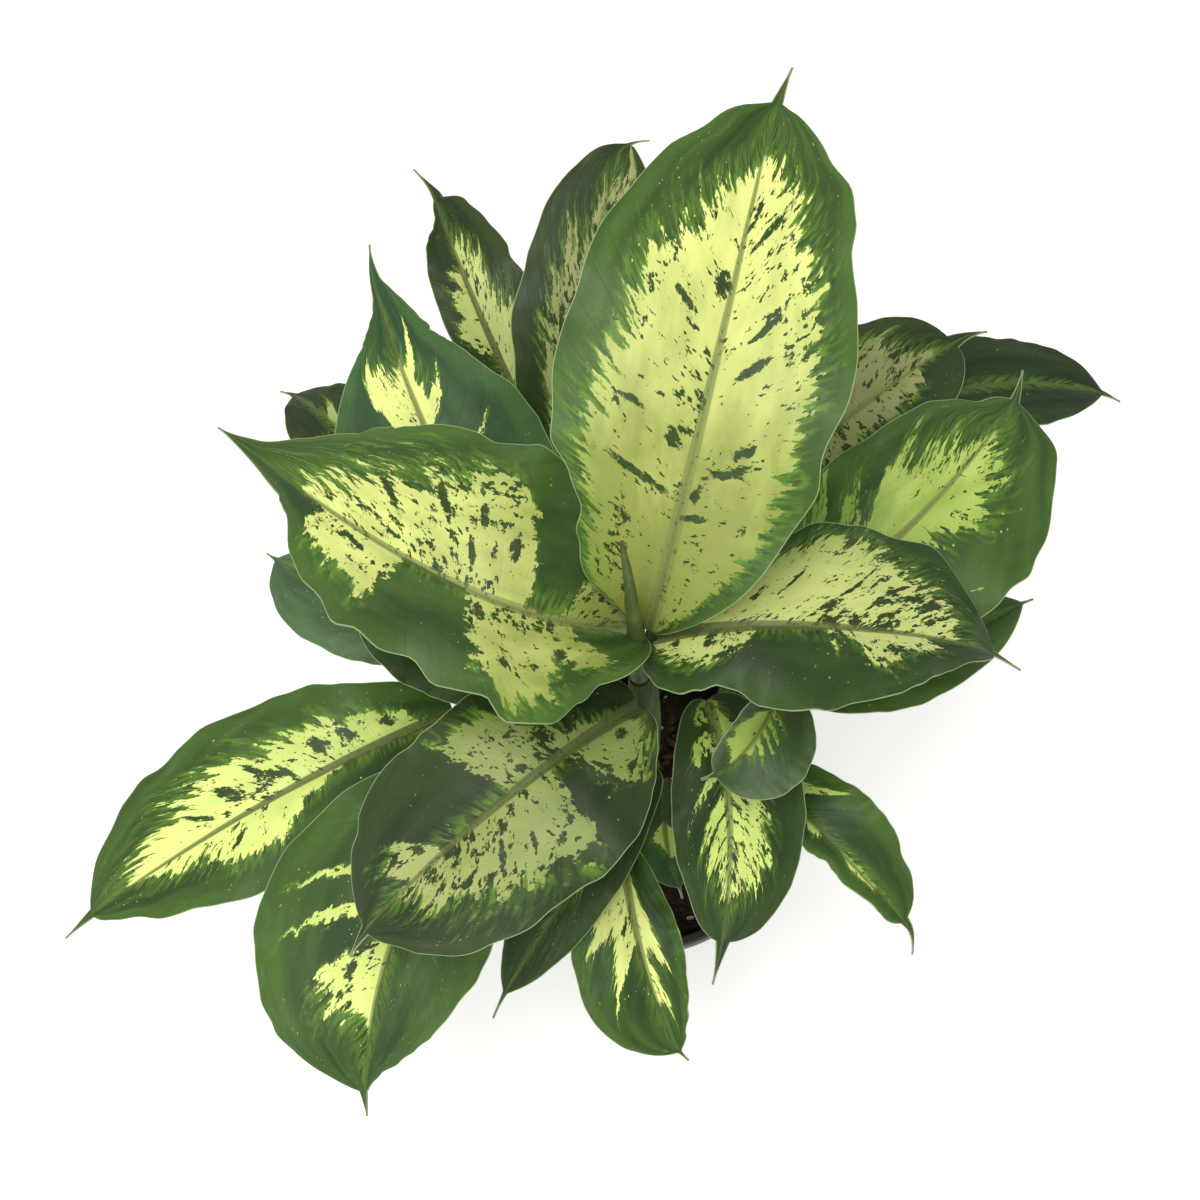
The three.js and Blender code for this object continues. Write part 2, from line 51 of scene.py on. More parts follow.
POT_HEIGHT = 130
POT_FOOT_RADIUS = 56
POT_TOP_RADIUS = 76
POT_LIP_RADIUS = 79
POT_LIP_DEPTH = 12
POT_WALL = 2
POT_FLOOR = 2.6
POT_SIDES = 128
DRAIN_HOLES = 8
DRAIN_HOLE_RADIUS = 5.5
DRAIN_CIRCLE_RADIUS = 42

SOIL_TOP = 112
SOIL_RADIUS = 70.4
SOIL_RELIEF = 1.6

CANE_FOOT = 52
CANE_RINGS = 9
CANE_TAPER = 0.18
CANE_TIP_RADIUS = 1.2
CANE_BURIED_LEAN = -0.12
CANE_BEND_LEAN = 0.3
SHEATH_FROM = 0.8

BODY_BLUNTNESS = 0.62
DRAWN_OUT_FROM = 0.6
DRAWN_OUT_WIDTH = 0.16
DRAWN_OUT_NARROWING = 0.9
HEEL_FADE = 12
LOBE_FADE = 7
HOOK_FROM = 0.9
MARGIN_PHASE = (0.15, 0.6)
SHARPENED_FROM = 0.6
BLADE_THICKNESS = 0.6
TIP_HALF_WIDTH = 0.45

STALK_DIP = 1.15
STALK_RISE = 0.35
STALK_OUTWARD = 0.5
STALK_RUN_UP = 0.12
STALK_FOOT_SWELL = 1.25
STALK_TOP_TAPER = 0.85

CANES = {
    "centre": {"foot": (3, 3), "top": (-3, 13, 270), "radius": 8, "flat_top": 5},
    "back": {"foot": (-29, 32), "top": (-52, 82, 222), "radius": 7.5},
    "left": {"foot": (-37, -7), "top": (-60, 3, 196), "radius": 7},
    "front": {"foot": (24, -40), "top": (31, -27, 172), "radius": 7},
    "right": {"foot": (38, 20), "top": (50, 50, 222), "radius": 7.5},
}

NEW_LEAF_TOP = (-12, 27, 374)
NEW_LEAF_RADIUS = 4.6
NEW_LEAF_TIP_RADIUS = 0.9
NEW_LEAF_TAPER = 1.6

# One entry a leaf, pairs being its left and right half seen from stalk to tip. The form is that of the
# solids, with points in mm and folds in degrees. sweep says how far the side veins run towards the tip:
# at the stalk, and how much more at the tip. glow is how pale the cream is at the stalk and at the tip,
# partly the cream's own tone and partly painted light and shade.
# edge, marks and islands are in hundredths. edge says how much wider the half is than its plain outline,
# and marks how far out the cream reaches, both by the place on the midrib, for marks the one where the
# side vein starts. islands are dark patches: place on the way to the tip, place out to the margin, their
# two half-sizes, and slant.
LEAF_ENTRIES = {
    "centre_1": dict(
        joins=212, stalk=3.4, base=(0, 20, 303), middle=(20, 81, 385), tip=(56, 218, 408),
        half_width=(58, 56), widest=(0.56, 0.54), fold=(13, 13), cup=0.3, waves=3.2, ripple=2.6, tail=0.05,
        hook=(4, 0, 6), sharp=0, lobe=(-0.2, -0.5), cream="bright", blotch=0.3, glow=(-0.5, 1.15),
        sweep=((0.04, 0.24), (-0.1, 0.38)),
        edge=(
            {0: 135, 7: 130, 18: 98, 26: 86, 32: 88, 38: 100, 50: 106, 80: 107, 86: 106, 90: 92, 95: 110,
             100: 100},
            {0: 80, 7: 90, 14: 92, 30: 89, 38: 93, 45: 86, 55: 93, 68: 96, 75: 91, 80: 99, 84: 102, 88: 88,
             92: 90, 100: 100},
        ),
        marks=(
            {0: 86, 4: 87, 20: 88, 30: 77, 36: 69, 48: 62, 58: 60, 62: 48, 68: 38, 72: 34, 81: 12, 87: 0},
            {0: 45, 8: 50, 13: 64, 18: 70, 27.5: 82, 32: 74, 50: 72, 60: 66, 68: 50, 72: 45, 78: 33, 84: 16,
             88: 0},
        ),
        islands=[
            (35, 38, 0.96, 27, 11), (42, 15, 1.28, 6.3, 10), (47, 47, 0.8, 9.9, 10), (68, 7, 1.92, 6.3, 10),
            (64.5, 30, 0.8, 7.2, 20), (29, -15, 0.88, 12.6, 5), (33, -10, 1.6, 4.5, 0),
            (38.5, -30, 1.04, 18, 10), (42.5, -38, 1.28, 9, 10), (55.5, -27, 1.12, 11.7, 20),
            (62, -30, 0.8, 9.9, 25), (77.5, -25, 1.12, 16.2, 25),
        ],
    ),
    "centre_2": dict(
        joins=186, stalk=3.2, base=(-7, 23, 301), middle=(-80, 29, 336), tip=(-186, 117, 300),
        half_width=(45, 73), widest=(0.5, 0.56), fold=(20, 9), cup=0.35, waves=3.6, ripple=3.6, tail=0.17,
        hook=(-4, 0, 6), sharp=0, lobe=(0.25, 1.7), cream="bright", blotch=0.8, glow=(-0.1, 0.95),
        sweep=((-0.16, 0.2), (-0.25, 0.9)),
        edge=(
            {0: 95, 10: 87, 16: 83, 20: 100, 25: 122, 31: 122, 35: 100, 42: 100, 47.5: 85, 53: 96, 56: 96,
             60: 110, 65: 102, 70: 108, 74: 104, 80: 78, 82.5: 92, 83: 135, 87: 135, 100: 120},
            {0: 130, 18: 120, 30: 95, 50: 92, 60: 96, 66: 102, 75: 114, 78: 122, 80: 140, 81: 156, 82: 180,
             82.5: 195, 82.9: 250, 83: 310, 86: 310, 90: 275, 95: 175, 100: 100},
        ),
        marks=(
            {0: 0, 3: 30, 7: 50, 8.5: 5, 20: 4, 21.5: 60, 25: 80, 28.7: 35, 31: 60, 34: 80, 42: 86, 44: 50,
             45.2: 0, 60: 0, 61: 60, 77: 60, 78.5: 2, 90: 0},
            {0: 50, 20: 45, 22: 3, 31.5: 3, 33: 68, 36: 75, 41.6: 62, 48.8: 50, 52.1: 50, 65.2: 30, 81: 5,
             83: 0},
        ),
        islands=[
            (23.5, 38, 1.44, 7.2, -10), (39.5, -33, 1.44, 9, 10), (60, -45, 1.28, 12.6, 30),
            (70, -35, 1.12, 13.5, 35), (48, -20, 0.96, 9, 20), (50, -45, 1.12, 8.1, 20),
            (41, 20, 1.6, 5.4, -10), (68, 18, 0.96, 4.5, 0),
        ],
    ),
    "centre_3": dict(
        joins=196, stalk=3.2, base=(-4, -5, 283), middle=(-60, -49, 292), tip=(-124, -100, 240),
        half_width=(43, 46), fold=(12, 14), cup=0.5, waves=3.2, ripple=2.4, tail=0.06, hook=(0, -4, -3),
        sharp=0.1, cream="dull", green="olive", rib="olive", blotch=1.1, glow=(-0.3, 0.9),
        sweep=((-0.22, 0.64), (-0.04, 0.3)),
        edge=(
            {0: 85, 5: 85, 10: 94, 15: 107, 20: 114, 28: 117, 40: 115, 47: 110, 55: 112, 70: 120, 80: 124,
             86: 118, 90: 104, 100: 100},
            {0: 100, 50: 98, 57: 99, 65: 109, 75: 120, 79: 118, 82: 107, 86: 115, 92: 110, 100: 100},
        ),
        marks=(
            {0: 0, 8: 2, 10: 30, 17: 60, 22: 80, 26: 80, 28: 40, 29: 2, 34: 2, 35.2: 85, 40: 80, 43.6: 77,
             48: 70, 53.5: 62, 58: 47, 62.4: 45, 67.6: 38, 72: 24, 80: 8, 84: 0},
            {0: 0, 12: 5, 20: 20, 28.5: 33, 33: 75, 40: 80, 44.8: 80, 45.6: 2, 67: 2, 68.2: 40, 75: 42,
             80: 5, 86: 0},
        ),
        islands=[
            (57, 40, 1.12, 12.6, 15), (48.5, 45, 0.96, 9, 10), (22.5, 35, 0.8, 13.5, -10),
            (40, -12, 1.6, 5.4, 20), (12, 25, 2.4, 9, 0),
        ],
    ),
    "centre_4": dict(
        joins=204, stalk=3.2, base=(3, 18, 301), middle=(64, 15, 322), tip=(159, 15, 272),
        half_width=(50, 35), widest=(0.68, 0.46), fold=(8, 10), cup=0.35, waves=3.6, ripple=3.2, tail=0.04,
        hook=(10, -5, -10), sharp=0, lobe=(0.5, 1), cream="warm", green="deep", rib="olive", blotch=0.9,
        glow=(0.35, 1), sweep=((0.34, 0), (-0.2, 0.4)),
        edge=(
            {0: 130, 10: 110, 30: 100, 52: 98, 60: 92, 70: 100, 78: 96, 86: 105, 93: 100, 100: 100},
            {0: 70, 5: 86, 12: 100, 17: 103, 21: 92, 25: 80, 29: 82, 36: 98, 44: 108, 50: 105, 60: 93,
             70: 95, 75: 88, 80: 76, 85: 68, 90: 60, 95: 70, 100: 90},
        ),
        marks=(
            {0: 0, 10: 2, 13: 40, 14: 75, 24: 85, 30: 85, 40: 78, 48: 70, 60: 55, 72: 40, 80: 25, 86: 8,
             89: 0},
            {0: 20, 8: 40, 14: 44, 20: 50, 27: 58, 31.5: 50, 33.3: 30, 34.2: 2, 54: 2, 55: 30, 57: 2,
             60: 15, 62: 50, 66: 55, 70: 32, 79: 40, 80: 2, 88: 0},
        ),
        islands=[
            (55, 20, 1.76, 8.1, 50), (62, 38, 0.8, 18, 40), (72, 35, 0.8, 18, 40), (45, 45, 0.8, 13.5, 40),
            (10, -20, 1.6, 7.2, 0), (20, -25, 1.2, 9, 0),
        ],
    ),
    "centre_5": dict(
        joins=152, stalk=2.2, base=(4, -11, 213), middle=(-31, -63, 209), tip=(-69, -115, 165),
        half_width=(18, 22), fold=(12, 14), ripple=1.4, tail=0.07, hook=(-1, -4, -3), green="deep",
        blotch=0.9, sweep=((0.35, 0), (0.35, 0)),
        marks=({30: 0, 42: 25, 50: 0}, {30: 0, 40: 12, 50: 0}),
    ),
    "centre_6": dict(
        joins=132, stalk=2, base=(12, -6, 178), middle=(11, -35, 178), tip=(19, -60, 164),
        half_width=(15, 15), fold=(12, 12), waves=2, ripple=1, tail=0.07, hook=(0, -2, -2), green="teal",
        blotch=0.2, sweep=((0.1, 0), (0.2, 0)),
        marks=({36: 0, 38: 26, 64: 26, 68: 0}, {34: 0, 37: 40, 44: 40, 50: 18, 66: 0}),
    ),
    "back_1": dict(
        joins=190, stalk=2.6, base=(-39, 124, 256), middle=(-26, 181, 310), tip=(2, 246, 332),
        half_width=(31, 31), fold=(16, 16), cup=0.3, waves=3, ripple=2, tail=0.05, hook=(10, -3, -6),
        sharp=0.1, cream="beige", green="olive", blotch=1.2, sweep=((0.1, 0.4), (0.1, 0.3)),
        marks=(
            {0: 20, 10: 30, 20: 48, 30: 48, 36: 57, 40: 42, 47.5: 52, 50: 35, 56: 20, 62: 12, 70: 15,
             75: 16, 80: 0},
            {0: 30, 30: 40, 50: 40, 60: 45, 66: 78, 70: 70, 74: 30, 80: 10, 84: 0},
        ),
    ),
    "back_2": dict(
        joins=184, stalk=2.6, base=(-65, 71, 262), middle=(-95, 116, 294), tip=(-126, 213, 300),
        half_width=(42, 46), widest=(0.46, 0.46), fold=(14, 10), ripple=2.2, tail=0.22, hook=(3, 2, 6),
        sharp=0.1, cream="bright", green="teal", blotch=0.25, glow=(0.8, 1.1), sweep=((0.35, 0), (0.3, 0)),
        edge=(
            {0: 100, 50: 112, 60: 118, 66: 122, 74: 122, 76: 130, 77.5: 145, 78: 200, 80: 160, 82: 120,
             86: 75, 90: 50, 100: 80},
            {0: 100, 50: 110, 60: 113, 66: 116, 70: 120, 73: 127, 75: 136, 76.5: 152, 77.5: 175, 77.9: 225,
             78: 260, 82: 210, 86: 200, 90: 180, 94: 130, 100: 100},
        ),
        marks=(
            {0: 30, 38: 30, 42: 10, 44: 8, 45: 60, 48: 68, 50: 66, 54: 45, 57: 40, 60: 25, 66: 10, 72: 0},
            {0: 5, 30: 5, 31: 50, 32.5: 50, 33.5: 2, 50: 4, 51.5: 40, 53: 48, 54.5: 15, 60: 18, 64: 15,
             65.5: 45, 67: 45, 68: 6, 74: 0},
        ),
    ),
    "back_3": dict(
        joins=156, stalk=2.4, base=(-46, 133, 240), middle=(-80, 198, 282), tip=(-110, 268, 285),
        half_width=(18, 28), fold=(16, 16), cup=0.3, waves=3, ripple=1.8, tail=0.13, hook=(-6, 2, 3),
        sharp=0.1, cream="warm", green="olive", rib="olive", glow=(0.5, 0.9), sweep=((0, 0.15), (0.2, 0.3)),
        edge=(
            {0: 100, 60: 102, 68: 90, 72: 76, 76: 50, 80: 35, 86: 40, 100: 80},
            {0: 100, 50: 100, 56: 92, 62: 100, 80: 110, 86: 135, 90: 150, 100: 100},
        ),
        marks=(
            {0: 5, 20: 10, 30: 15, 31: 55, 35: 66, 39: 60, 41: 35, 43: 55, 49: 50, 50: 12, 54: 40, 57: 10,
             60: 0},
            {0: 5, 14: 15, 20: 45, 25: 58, 30: 40, 38: 35, 46: 45, 50: 30, 60: 22, 66: 5, 70: 0},
        ),
    ),
    "back_4": dict(
        joins=146, stalk=2.2, base=(-110, 121, 235), middle=(-144, 149, 242), tip=(-179, 180, 225),
        half_width=(24, 24), fold=(12, 12), waves=2.4, ripple=1.6, tail=0.08, hook=(-4, 0, 0), cream="dull",
        green="olive", sweep=((0.3, 0), (0.4, 0)),
        marks=({40: 0, 50: 6, 60: 0}, {46: 0, 52: 34, 57: 30, 60: 0}),
    ),
    "back_5": dict(
        joins=132, stalk=2.2, base=(-86, 60, 196), middle=(-142, 81, 198), tip=(-189, 112, 180),
        half_width=(31, 30), fold=(12, 12), cup=0.5, waves=2.4, ripple=1.8, tail=0.05, hook=(-3, 2, 0),
        green="mist",
    ),
    "left_1": dict(
        joins=146, stalk=2.6, base=(-73, -20, 226), middle=(-109, -92, 224), tip=(-123, -158, 172),
        half_width=(38, 61), fold=(14, 6), waves=3.2, ripple=2.4, tail=0.06, hook=(0, -3, -3), sharp=0.15,
        blotch=0.9, glow=(0.5, 1.1), sweep=((0.3, 0), (0.05, 0.42)),
        edge=(
            {0: 100, 40: 112, 50: 108, 60: 103, 72: 93, 78: 82, 83: 68, 88: 45, 93: 30, 100: 70},
            {0: 100, 50: 102, 60: 107, 75: 110, 79: 106, 82: 110, 85: 102, 88: 100, 93: 90, 100: 80},
        ),
        marks=(
            {0: 0, 15: 2, 20: 30, 34: 30, 38: 0, 100: 0},
            {0: 0, 23: 2, 26.2: 80, 28.5: 35, 30: 2, 33: 2, 36: 78, 38.5: 35, 40: 2, 47.5: 2, 49: 42,
             55: 40, 62: 30, 68: 13, 72: 5, 78: 0},
        ),
    ),
    "left_2": dict(
        joins=130, stalk=2.6, base=(-88, 15, 215), middle=(-169, -27, 216), tip=(-267, -80, 172),
        half_width=(40, 43), fold=(14, 14), waves=3, ripple=2.4, tail=0.06, hook=(-3, -4, -3), sharp=0.15,
        rib="olive", blotch=0.35, glow=(0.4, 1.3), sweep=((0, 0.2), (-0.1, 0.6)),
        edge=(
            {0: 100, 60: 97, 68: 94, 74: 88, 80: 88, 86: 74, 90: 80, 94: 95, 100: 100},
            {0: 90, 19: 89, 25: 92, 31: 102, 40: 107, 50: 107, 60: 112, 69: 115, 75: 127, 79: 126, 83: 117,
             88: 120, 93: 110, 100: 100},
        ),
        marks=(
            {0: 5, 30: 4, 35: 13, 40: 22, 41.8: 38, 45: 57, 50.5: 53, 55.8: 50, 59: 38, 64.3: 30, 69.7: 27,
             77: 12, 84: 0},
            {0: 0, 6: 5, 11: 18, 14.7: 42, 19: 52, 20: 62, 23: 50, 33: 50, 35.7: 58, 37.6: 40, 41.6: 50,
             43: 60, 51.2: 50, 58: 36, 67: 32, 76.7: 16, 83: 4, 86: 0},
        ),
        islands=[
            (17, -30, 2.2, 10, 10), (27, -28, 2, 10, 10), (34, -28, 2.2, 12, 10), (57, -26, 1.8, 12, 20),
            (65, -20, 1.2, 10, 30), (59, 27, 1, 10, 20), (43, -15, 1, 12, 12), (50, -35, 1, 10, 20),
        ],
    ),
    "left_3": dict(
        joins=174, stalk=2.2, base=(-56, 12, 248), middle=(-96, 38, 250), tip=(-138, 62, 238),
        half_width=(24, 22), fold=(10, 10), waves=2, ripple=1.4, tail=0.07, hook=(-3, 2, -2), green="deep",
        marks=({0: 0, 30: 0, 40: 20, 45: 0}, {0: 0, 100: 0}),
    ),
    "front_1": dict(
        joins=146, stalk=2.2, base=(55, -16, 215), middle=(87, -52, 220), tip=(121, -90, 186),
        half_width=(27, 13), fold=(20, 22), cup=0.3, waves=2.4, ripple=1.4, tail=0.13, hook=(-3, -3, -8),
        sharp=0.1, blotch=0.3, sweep=((0.3, 0), (0.1, 0)),
        edge=(
            {0: 100, 60: 97, 70: 94, 77: 100, 100: 100},
            {0: 100, 38: 100, 43: 84, 47: 70, 52: 78, 58: 88, 65: 82, 72: 76, 77: 90, 82: 110, 100: 100},
        ),
        marks=(
            {0: 45, 4: 50, 8: 85, 10: 70, 11: 2, 45: 0, 50: 5, 68: 5, 70: 0},
            {0: 0, 26: 0, 27.5: 35, 34: 30, 36: 2, 48: 4, 52: 22, 60: 26, 68: 16, 70: 0},
        ),
    ),
    "front_2": dict(
        joins=134, stalk=2.2, base=(-10, -44, 196), middle=(0, -96, 194), tip=(20, -134, 168),
        half_width=(20, 32), fold=(16, 12), ripple=1.8, tail=0.05, hook=(3, -1, -3), sharp=0.15,
        cream="bright", glow=(0.9, 1.1), sweep=((0.55, 0.05), (0.5, 0)),
        edge=(
            {0: 100, 50: 98, 66: 90, 79: 80, 87: 74, 92: 95, 100: 100},
            {0: 100, 50: 98, 60: 102, 100: 100},
        ),
        marks=(
            {0: 10, 10: 30, 18: 50, 22: 55, 25: 45, 30: 30, 33: 20, 42: 16, 50: 36, 55: 38, 58: 20, 64: 8,
             68: 0},
            {0: 66, 4: 75, 8: 60, 14: 45, 20: 38, 24: 44, 28: 40, 32: 55, 34.5: 66, 36: 30, 37: 2, 55: 0},
        ),
    ),
    "right_1": dict(
        joins=190, stalk=2.6, base=(68, 47, 262), middle=(117, 78, 290), tip=(172, 155, 285),
        half_width=(42, 49), widest=(0.45, 0.52), fold=(12, 10), waves=3.2, ripple=2.8, tail=0.07,
        hook=(-3, 4, 5), sharp=0, glow=(-0.1, 0.5), sweep=((0.3, 0.3), (-0.4, 0.84)),
        edge=(
            {0: 100, 30: 99, 40: 110, 50: 113, 62: 110, 80: 119, 85: 108, 88: 75, 92: 80, 100: 100},
            {0: 95, 50: 102, 57: 108, 62: 104, 70: 108, 82: 103, 87: 110, 92: 90, 100: 90},
        ),
        marks=(
            {0: 88, 1.5: 88, 3: 5, 8: 5, 10: 60, 18: 62, 22: 30, 26: 25, 30: 62, 33: 68, 36: 50, 40: 42,
             50: 40, 56.7: 34, 62: 22, 70: 12, 80: 3, 84: 0},
            {0: 40, 45: 25, 51.5: 27, 54.6: 40, 56.2: 50, 59: 35, 61.4: 30, 63.2: 46, 66: 30, 72: 25,
             76: 12, 80: 10, 85: 0},
        ),
    ),
    "right_2": dict(
        joins=176, stalk=2.4, base=(69, 124, 250), middle=(107, 149, 272), tip=(163, 187, 268),
        half_width=(42, 33), fold=(12, 12), ripple=1.8, tail=0.12, hook=(4, -2, 0), sharp=0, cream="beige",
        green="olive", blotch=1.1, sweep=((0.1, 0.4), (0, 0.05)),
        marks=(
            {0: 30, 30: 60, 37: 70, 44: 68, 47: 50, 55: 32, 62: 24, 75: 10, 81: 0},
            {0: 20, 10: 40, 50: 40, 62: 36, 68: 32, 70: 2, 80: 0},
        ),
    ),
    "right_3": dict(
        joins=150, stalk=2.2, base=(103, 160, 228), middle=(172, 176, 238), tip=(242, 180, 215),
        half_width=(28, 28), fold=(12, 12), ripple=1.6, tail=0.07, hook=(3, -1, -3), cream="dull",
        green="dark",
    ),
    "right_4": dict(
        joins=136, stalk=2.2, base=(66, 18, 246), middle=(115, 32, 250), tip=(180, 64, 234),
        half_width=(25, 25), fold=(10, 10), ripple=1.6, tail=0.04, hook=(2, 1, -3),
    ),
    "right_5": dict(
        joins=172, stalk=1.9, base=(57, 9, 264), middle=(43, -17, 267), tip=(23, -28, 254),
        half_width=(26, 18), fold=(8, 58), cup=0.3, waves=2, ripple=1, tail=0.08, hook=(-3, 0, -3),
        green="grey", blotch=0.3, glow=(0.1, 0.3), sweep=((0.35, 0), (0.1, 0)),
        marks=(
            {0: 10, 10: 10, 14: 32, 16: 35, 17: 6, 21: 6, 23: 42, 25: 40, 26: 5, 30: 5, 31: 42, 33: 40,
             34: 5, 38: 5, 40: 30, 43: 25, 44: 5, 50: 15, 56: 4, 62: 0},
            {15: 0, 25: 50, 35: 80, 55: 70, 65: 30, 75: 0},
        ),
    ),
    "right_6": dict(
        joins=148, stalk=2.6, base=(27, 11, 245), middle=(36, -46, 237), tip=(31, -102, 178),
        half_width=(34, 26), fold=(12, 14), waves=3, ripple=2, tail=0.12, hook=(-1, -4, -4), sharp=0.1,
        green="deep", blotch=1.2, glow=(0.2, 1), sweep=((0.1, 0.35), (-0.05, 0.7)),
        marks=(
            {0: 30, 20: 35, 34: 46, 36: 42, 42: 56, 45.3: 42, 51: 46, 55.5: 42, 60: 28, 64: 20, 70: 10,
             76: 0},
            {0: 10, 4: 55, 9: 55, 10: 5, 12.5: 5, 13.5: 60, 18: 60, 19: 5, 25: 10, 26: 60, 28: 60, 29: 10,
             34: 5, 36: 45, 40: 45, 41: 5, 43: 30, 44: 42, 47.5: 46, 50: 30, 56: 25, 62: 20, 68: 10, 74: 0},
        ),
    ),
}

# What a leaf has where its entry says nothing else.
PLAIN_LEAF = {
    "widest": (0.5, 0.5), "cup": 0.4, "waves": 2.6, "sharp": 0.25, "lobe": (0.34, 0.34),
    "edge": ({0: 100, 100: 100}, {0: 100, 100: 100}), "marks": ({0: 0, 100: 0}, {0: 0, 100: 0}),
    "cream": "lime", "green": "fresh", "rib": "green", "blotch": 0.5, "glow": (0.45, 0.8),
    "sweep": ((0.3, 0), (0.3, 0)), "islands": [],
}


def whole_leaf(name, entry):
    """A leaf's entry with all that it leaves out, its cane, and its hundredths as shares."""
    leaf = {**PLAIN_LEAF, **entry, "cane": name.split("_")[0]}
    for field in ("edge", "marks"):
        leaf[field] = [[(place / 100, value / 100) for place, value in half.items()] for half in leaf[field]]
    leaf["islands"] = [[number / 100 for number in island] for island in leaf["islands"]]
    return leaf


LEAVES = {name: whole_leaf(name, entry) for name, entry in LEAF_ENTRIES.items()}

# ---- shades ----


def shade(red, green, blue):
    """A screen colour, 0 to 255, as the linear colour that a shader takes."""
    def linear(level):
        level = level / 255
        return level / 12.92 if level <= 0.04045 else ((level + 0.055) / 1.055) ** 2.4
    return (linear(red), linear(green), linear(blue), 1)


# Each cream is a pale and a rich shade, which a blade passes between by its glow: partly the cream's own
# tone, partly painted light and shade.
CREAMS = {
    "bright": (shade(248, 255, 152), shade(150, 160, 78)),
    "warm": (shade(212, 222, 134), shade(160, 170, 92)),
    "lime": (shade(236, 250, 142), shade(150, 178, 74)),
    "dull": (shade(184, 190, 116), shade(136, 150, 80)),
    # The beige cream is darkened for leaves lying in shade under higher ones: partly their own dull tone,
    # partly painted shade.
    "beige": (shade(166, 170, 108), shade(122, 130, 76)),
}
GREENS = {
    "fresh": (shade(76, 108, 44), shade(48, 72, 32)),
    "deep": (shade(58, 82, 34), shade(38, 56, 24)),
    "mist": (shade(98, 128, 84), shade(70, 98, 64)),
    "teal": (shade(72, 106, 58), shade(48, 78, 46)),
    "olive": (shade(58, 74, 36), shade(38, 52, 24)),
    "dark": (shade(52, 72, 36), shade(34, 52, 26)),
    "grey": (shade(84, 104, 64), shade(62, 82, 48)),
}
LIME_FRINGE = shade(112, 152, 50)
BLOTCH_GREEN = shade(42, 58, 28)
MARGIN_LINE = shade(168, 184, 132)
MIDRIB_PALE = shade(144, 156, 86)
MIDRIB_GREEN = shade(82, 98, 50)
MIDRIB_OLIVE = shade(84, 92, 50)
UNDERSIDE_VEIL = shade(120, 144, 88)
# Stalk greens darker than their own colour, to stand for the crown's shade: partly painted shade.
STALK_GREENS_AND_SHADE = (shade(56, 76, 36), shade(84, 106, 52))
STALK_FLECK = shade(140, 158, 96)
CANE_GREENS = (shade(56, 76, 36), shade(92, 112, 56))
CANE_SCAR = shade(122, 102, 66)
CANE_CORK = shade(150, 142, 98)
CANE_FOOT_BROWN = shade(96, 84, 52)
# Painted shade for the top of a cane, down in the crown.
CANE_TOP_SHADE = shade(40, 56, 28)
NEW_LEAF_GREENS = (shade(78, 92, 44), shade(104, 118, 60))
NEW_LEAF_EDGE = shade(150, 160, 104)
NEW_LEAF_VEIN = shade(62, 78, 38)
# Painted shade for the foot of the rolled new leaf, down in the crown.
NEW_LEAF_FOOT_SHADE = shade(54, 72, 34)
NEW_LEAF_TIP = shade(88, 64, 40)
POT_BLACKS = (shade(31, 30, 30), shade(58, 54, 50))
SOIL_BROWNS = (shade(30, 22, 16), shade(62, 46, 33))
SOIL_CRUMB = shade(92, 70, 50)
BARK_BROWNS = (shade(44, 33, 25), shade(82, 64, 48))
BARK_GRAIN = shade(30, 23, 18)
PERLITE_WHITES = (shade(196, 190, 178), shade(232, 228, 218))
FLOOR_WHITES = (shade(252, 252, 250), shade(246, 247, 243))


class Value:
    """A number in a shader. Arithmetic on it adds Math nodes to its finish."""

    def __init__(self, finish, socket):
        self.finish = finish
        self.socket = socket

    def math(self, operation, *others, clamped=False):
        settings = {"operation": operation, "use_clamp": clamped}
        values = dict(enumerate((self, *others)))
        return self.finish.node("ShaderNodeMath", settings, values)

    def __add__(self, other):
        return self.math("ADD", other)

    __radd__ = __add__

    def __mul__(self, other):
        return self.math("MULTIPLY", other)

    __rmul__ = __mul__

    def __sub__(self, other):
        return self.math("SUBTRACT", other)

    def __rsub__(self, other):
        return self.math("MULTIPLY_ADD", -1, other)

    def __truediv__(self, other):
        return self.math("DIVIDE", other)

    def clamped(self):
        return self.math("ADD", 0, clamped=True)

    def over(self, level, softness):
        """0 below the level, and 1 where it is passed by the softness. A negative one turns this round."""
        return ((self - level) / softness).clamped()


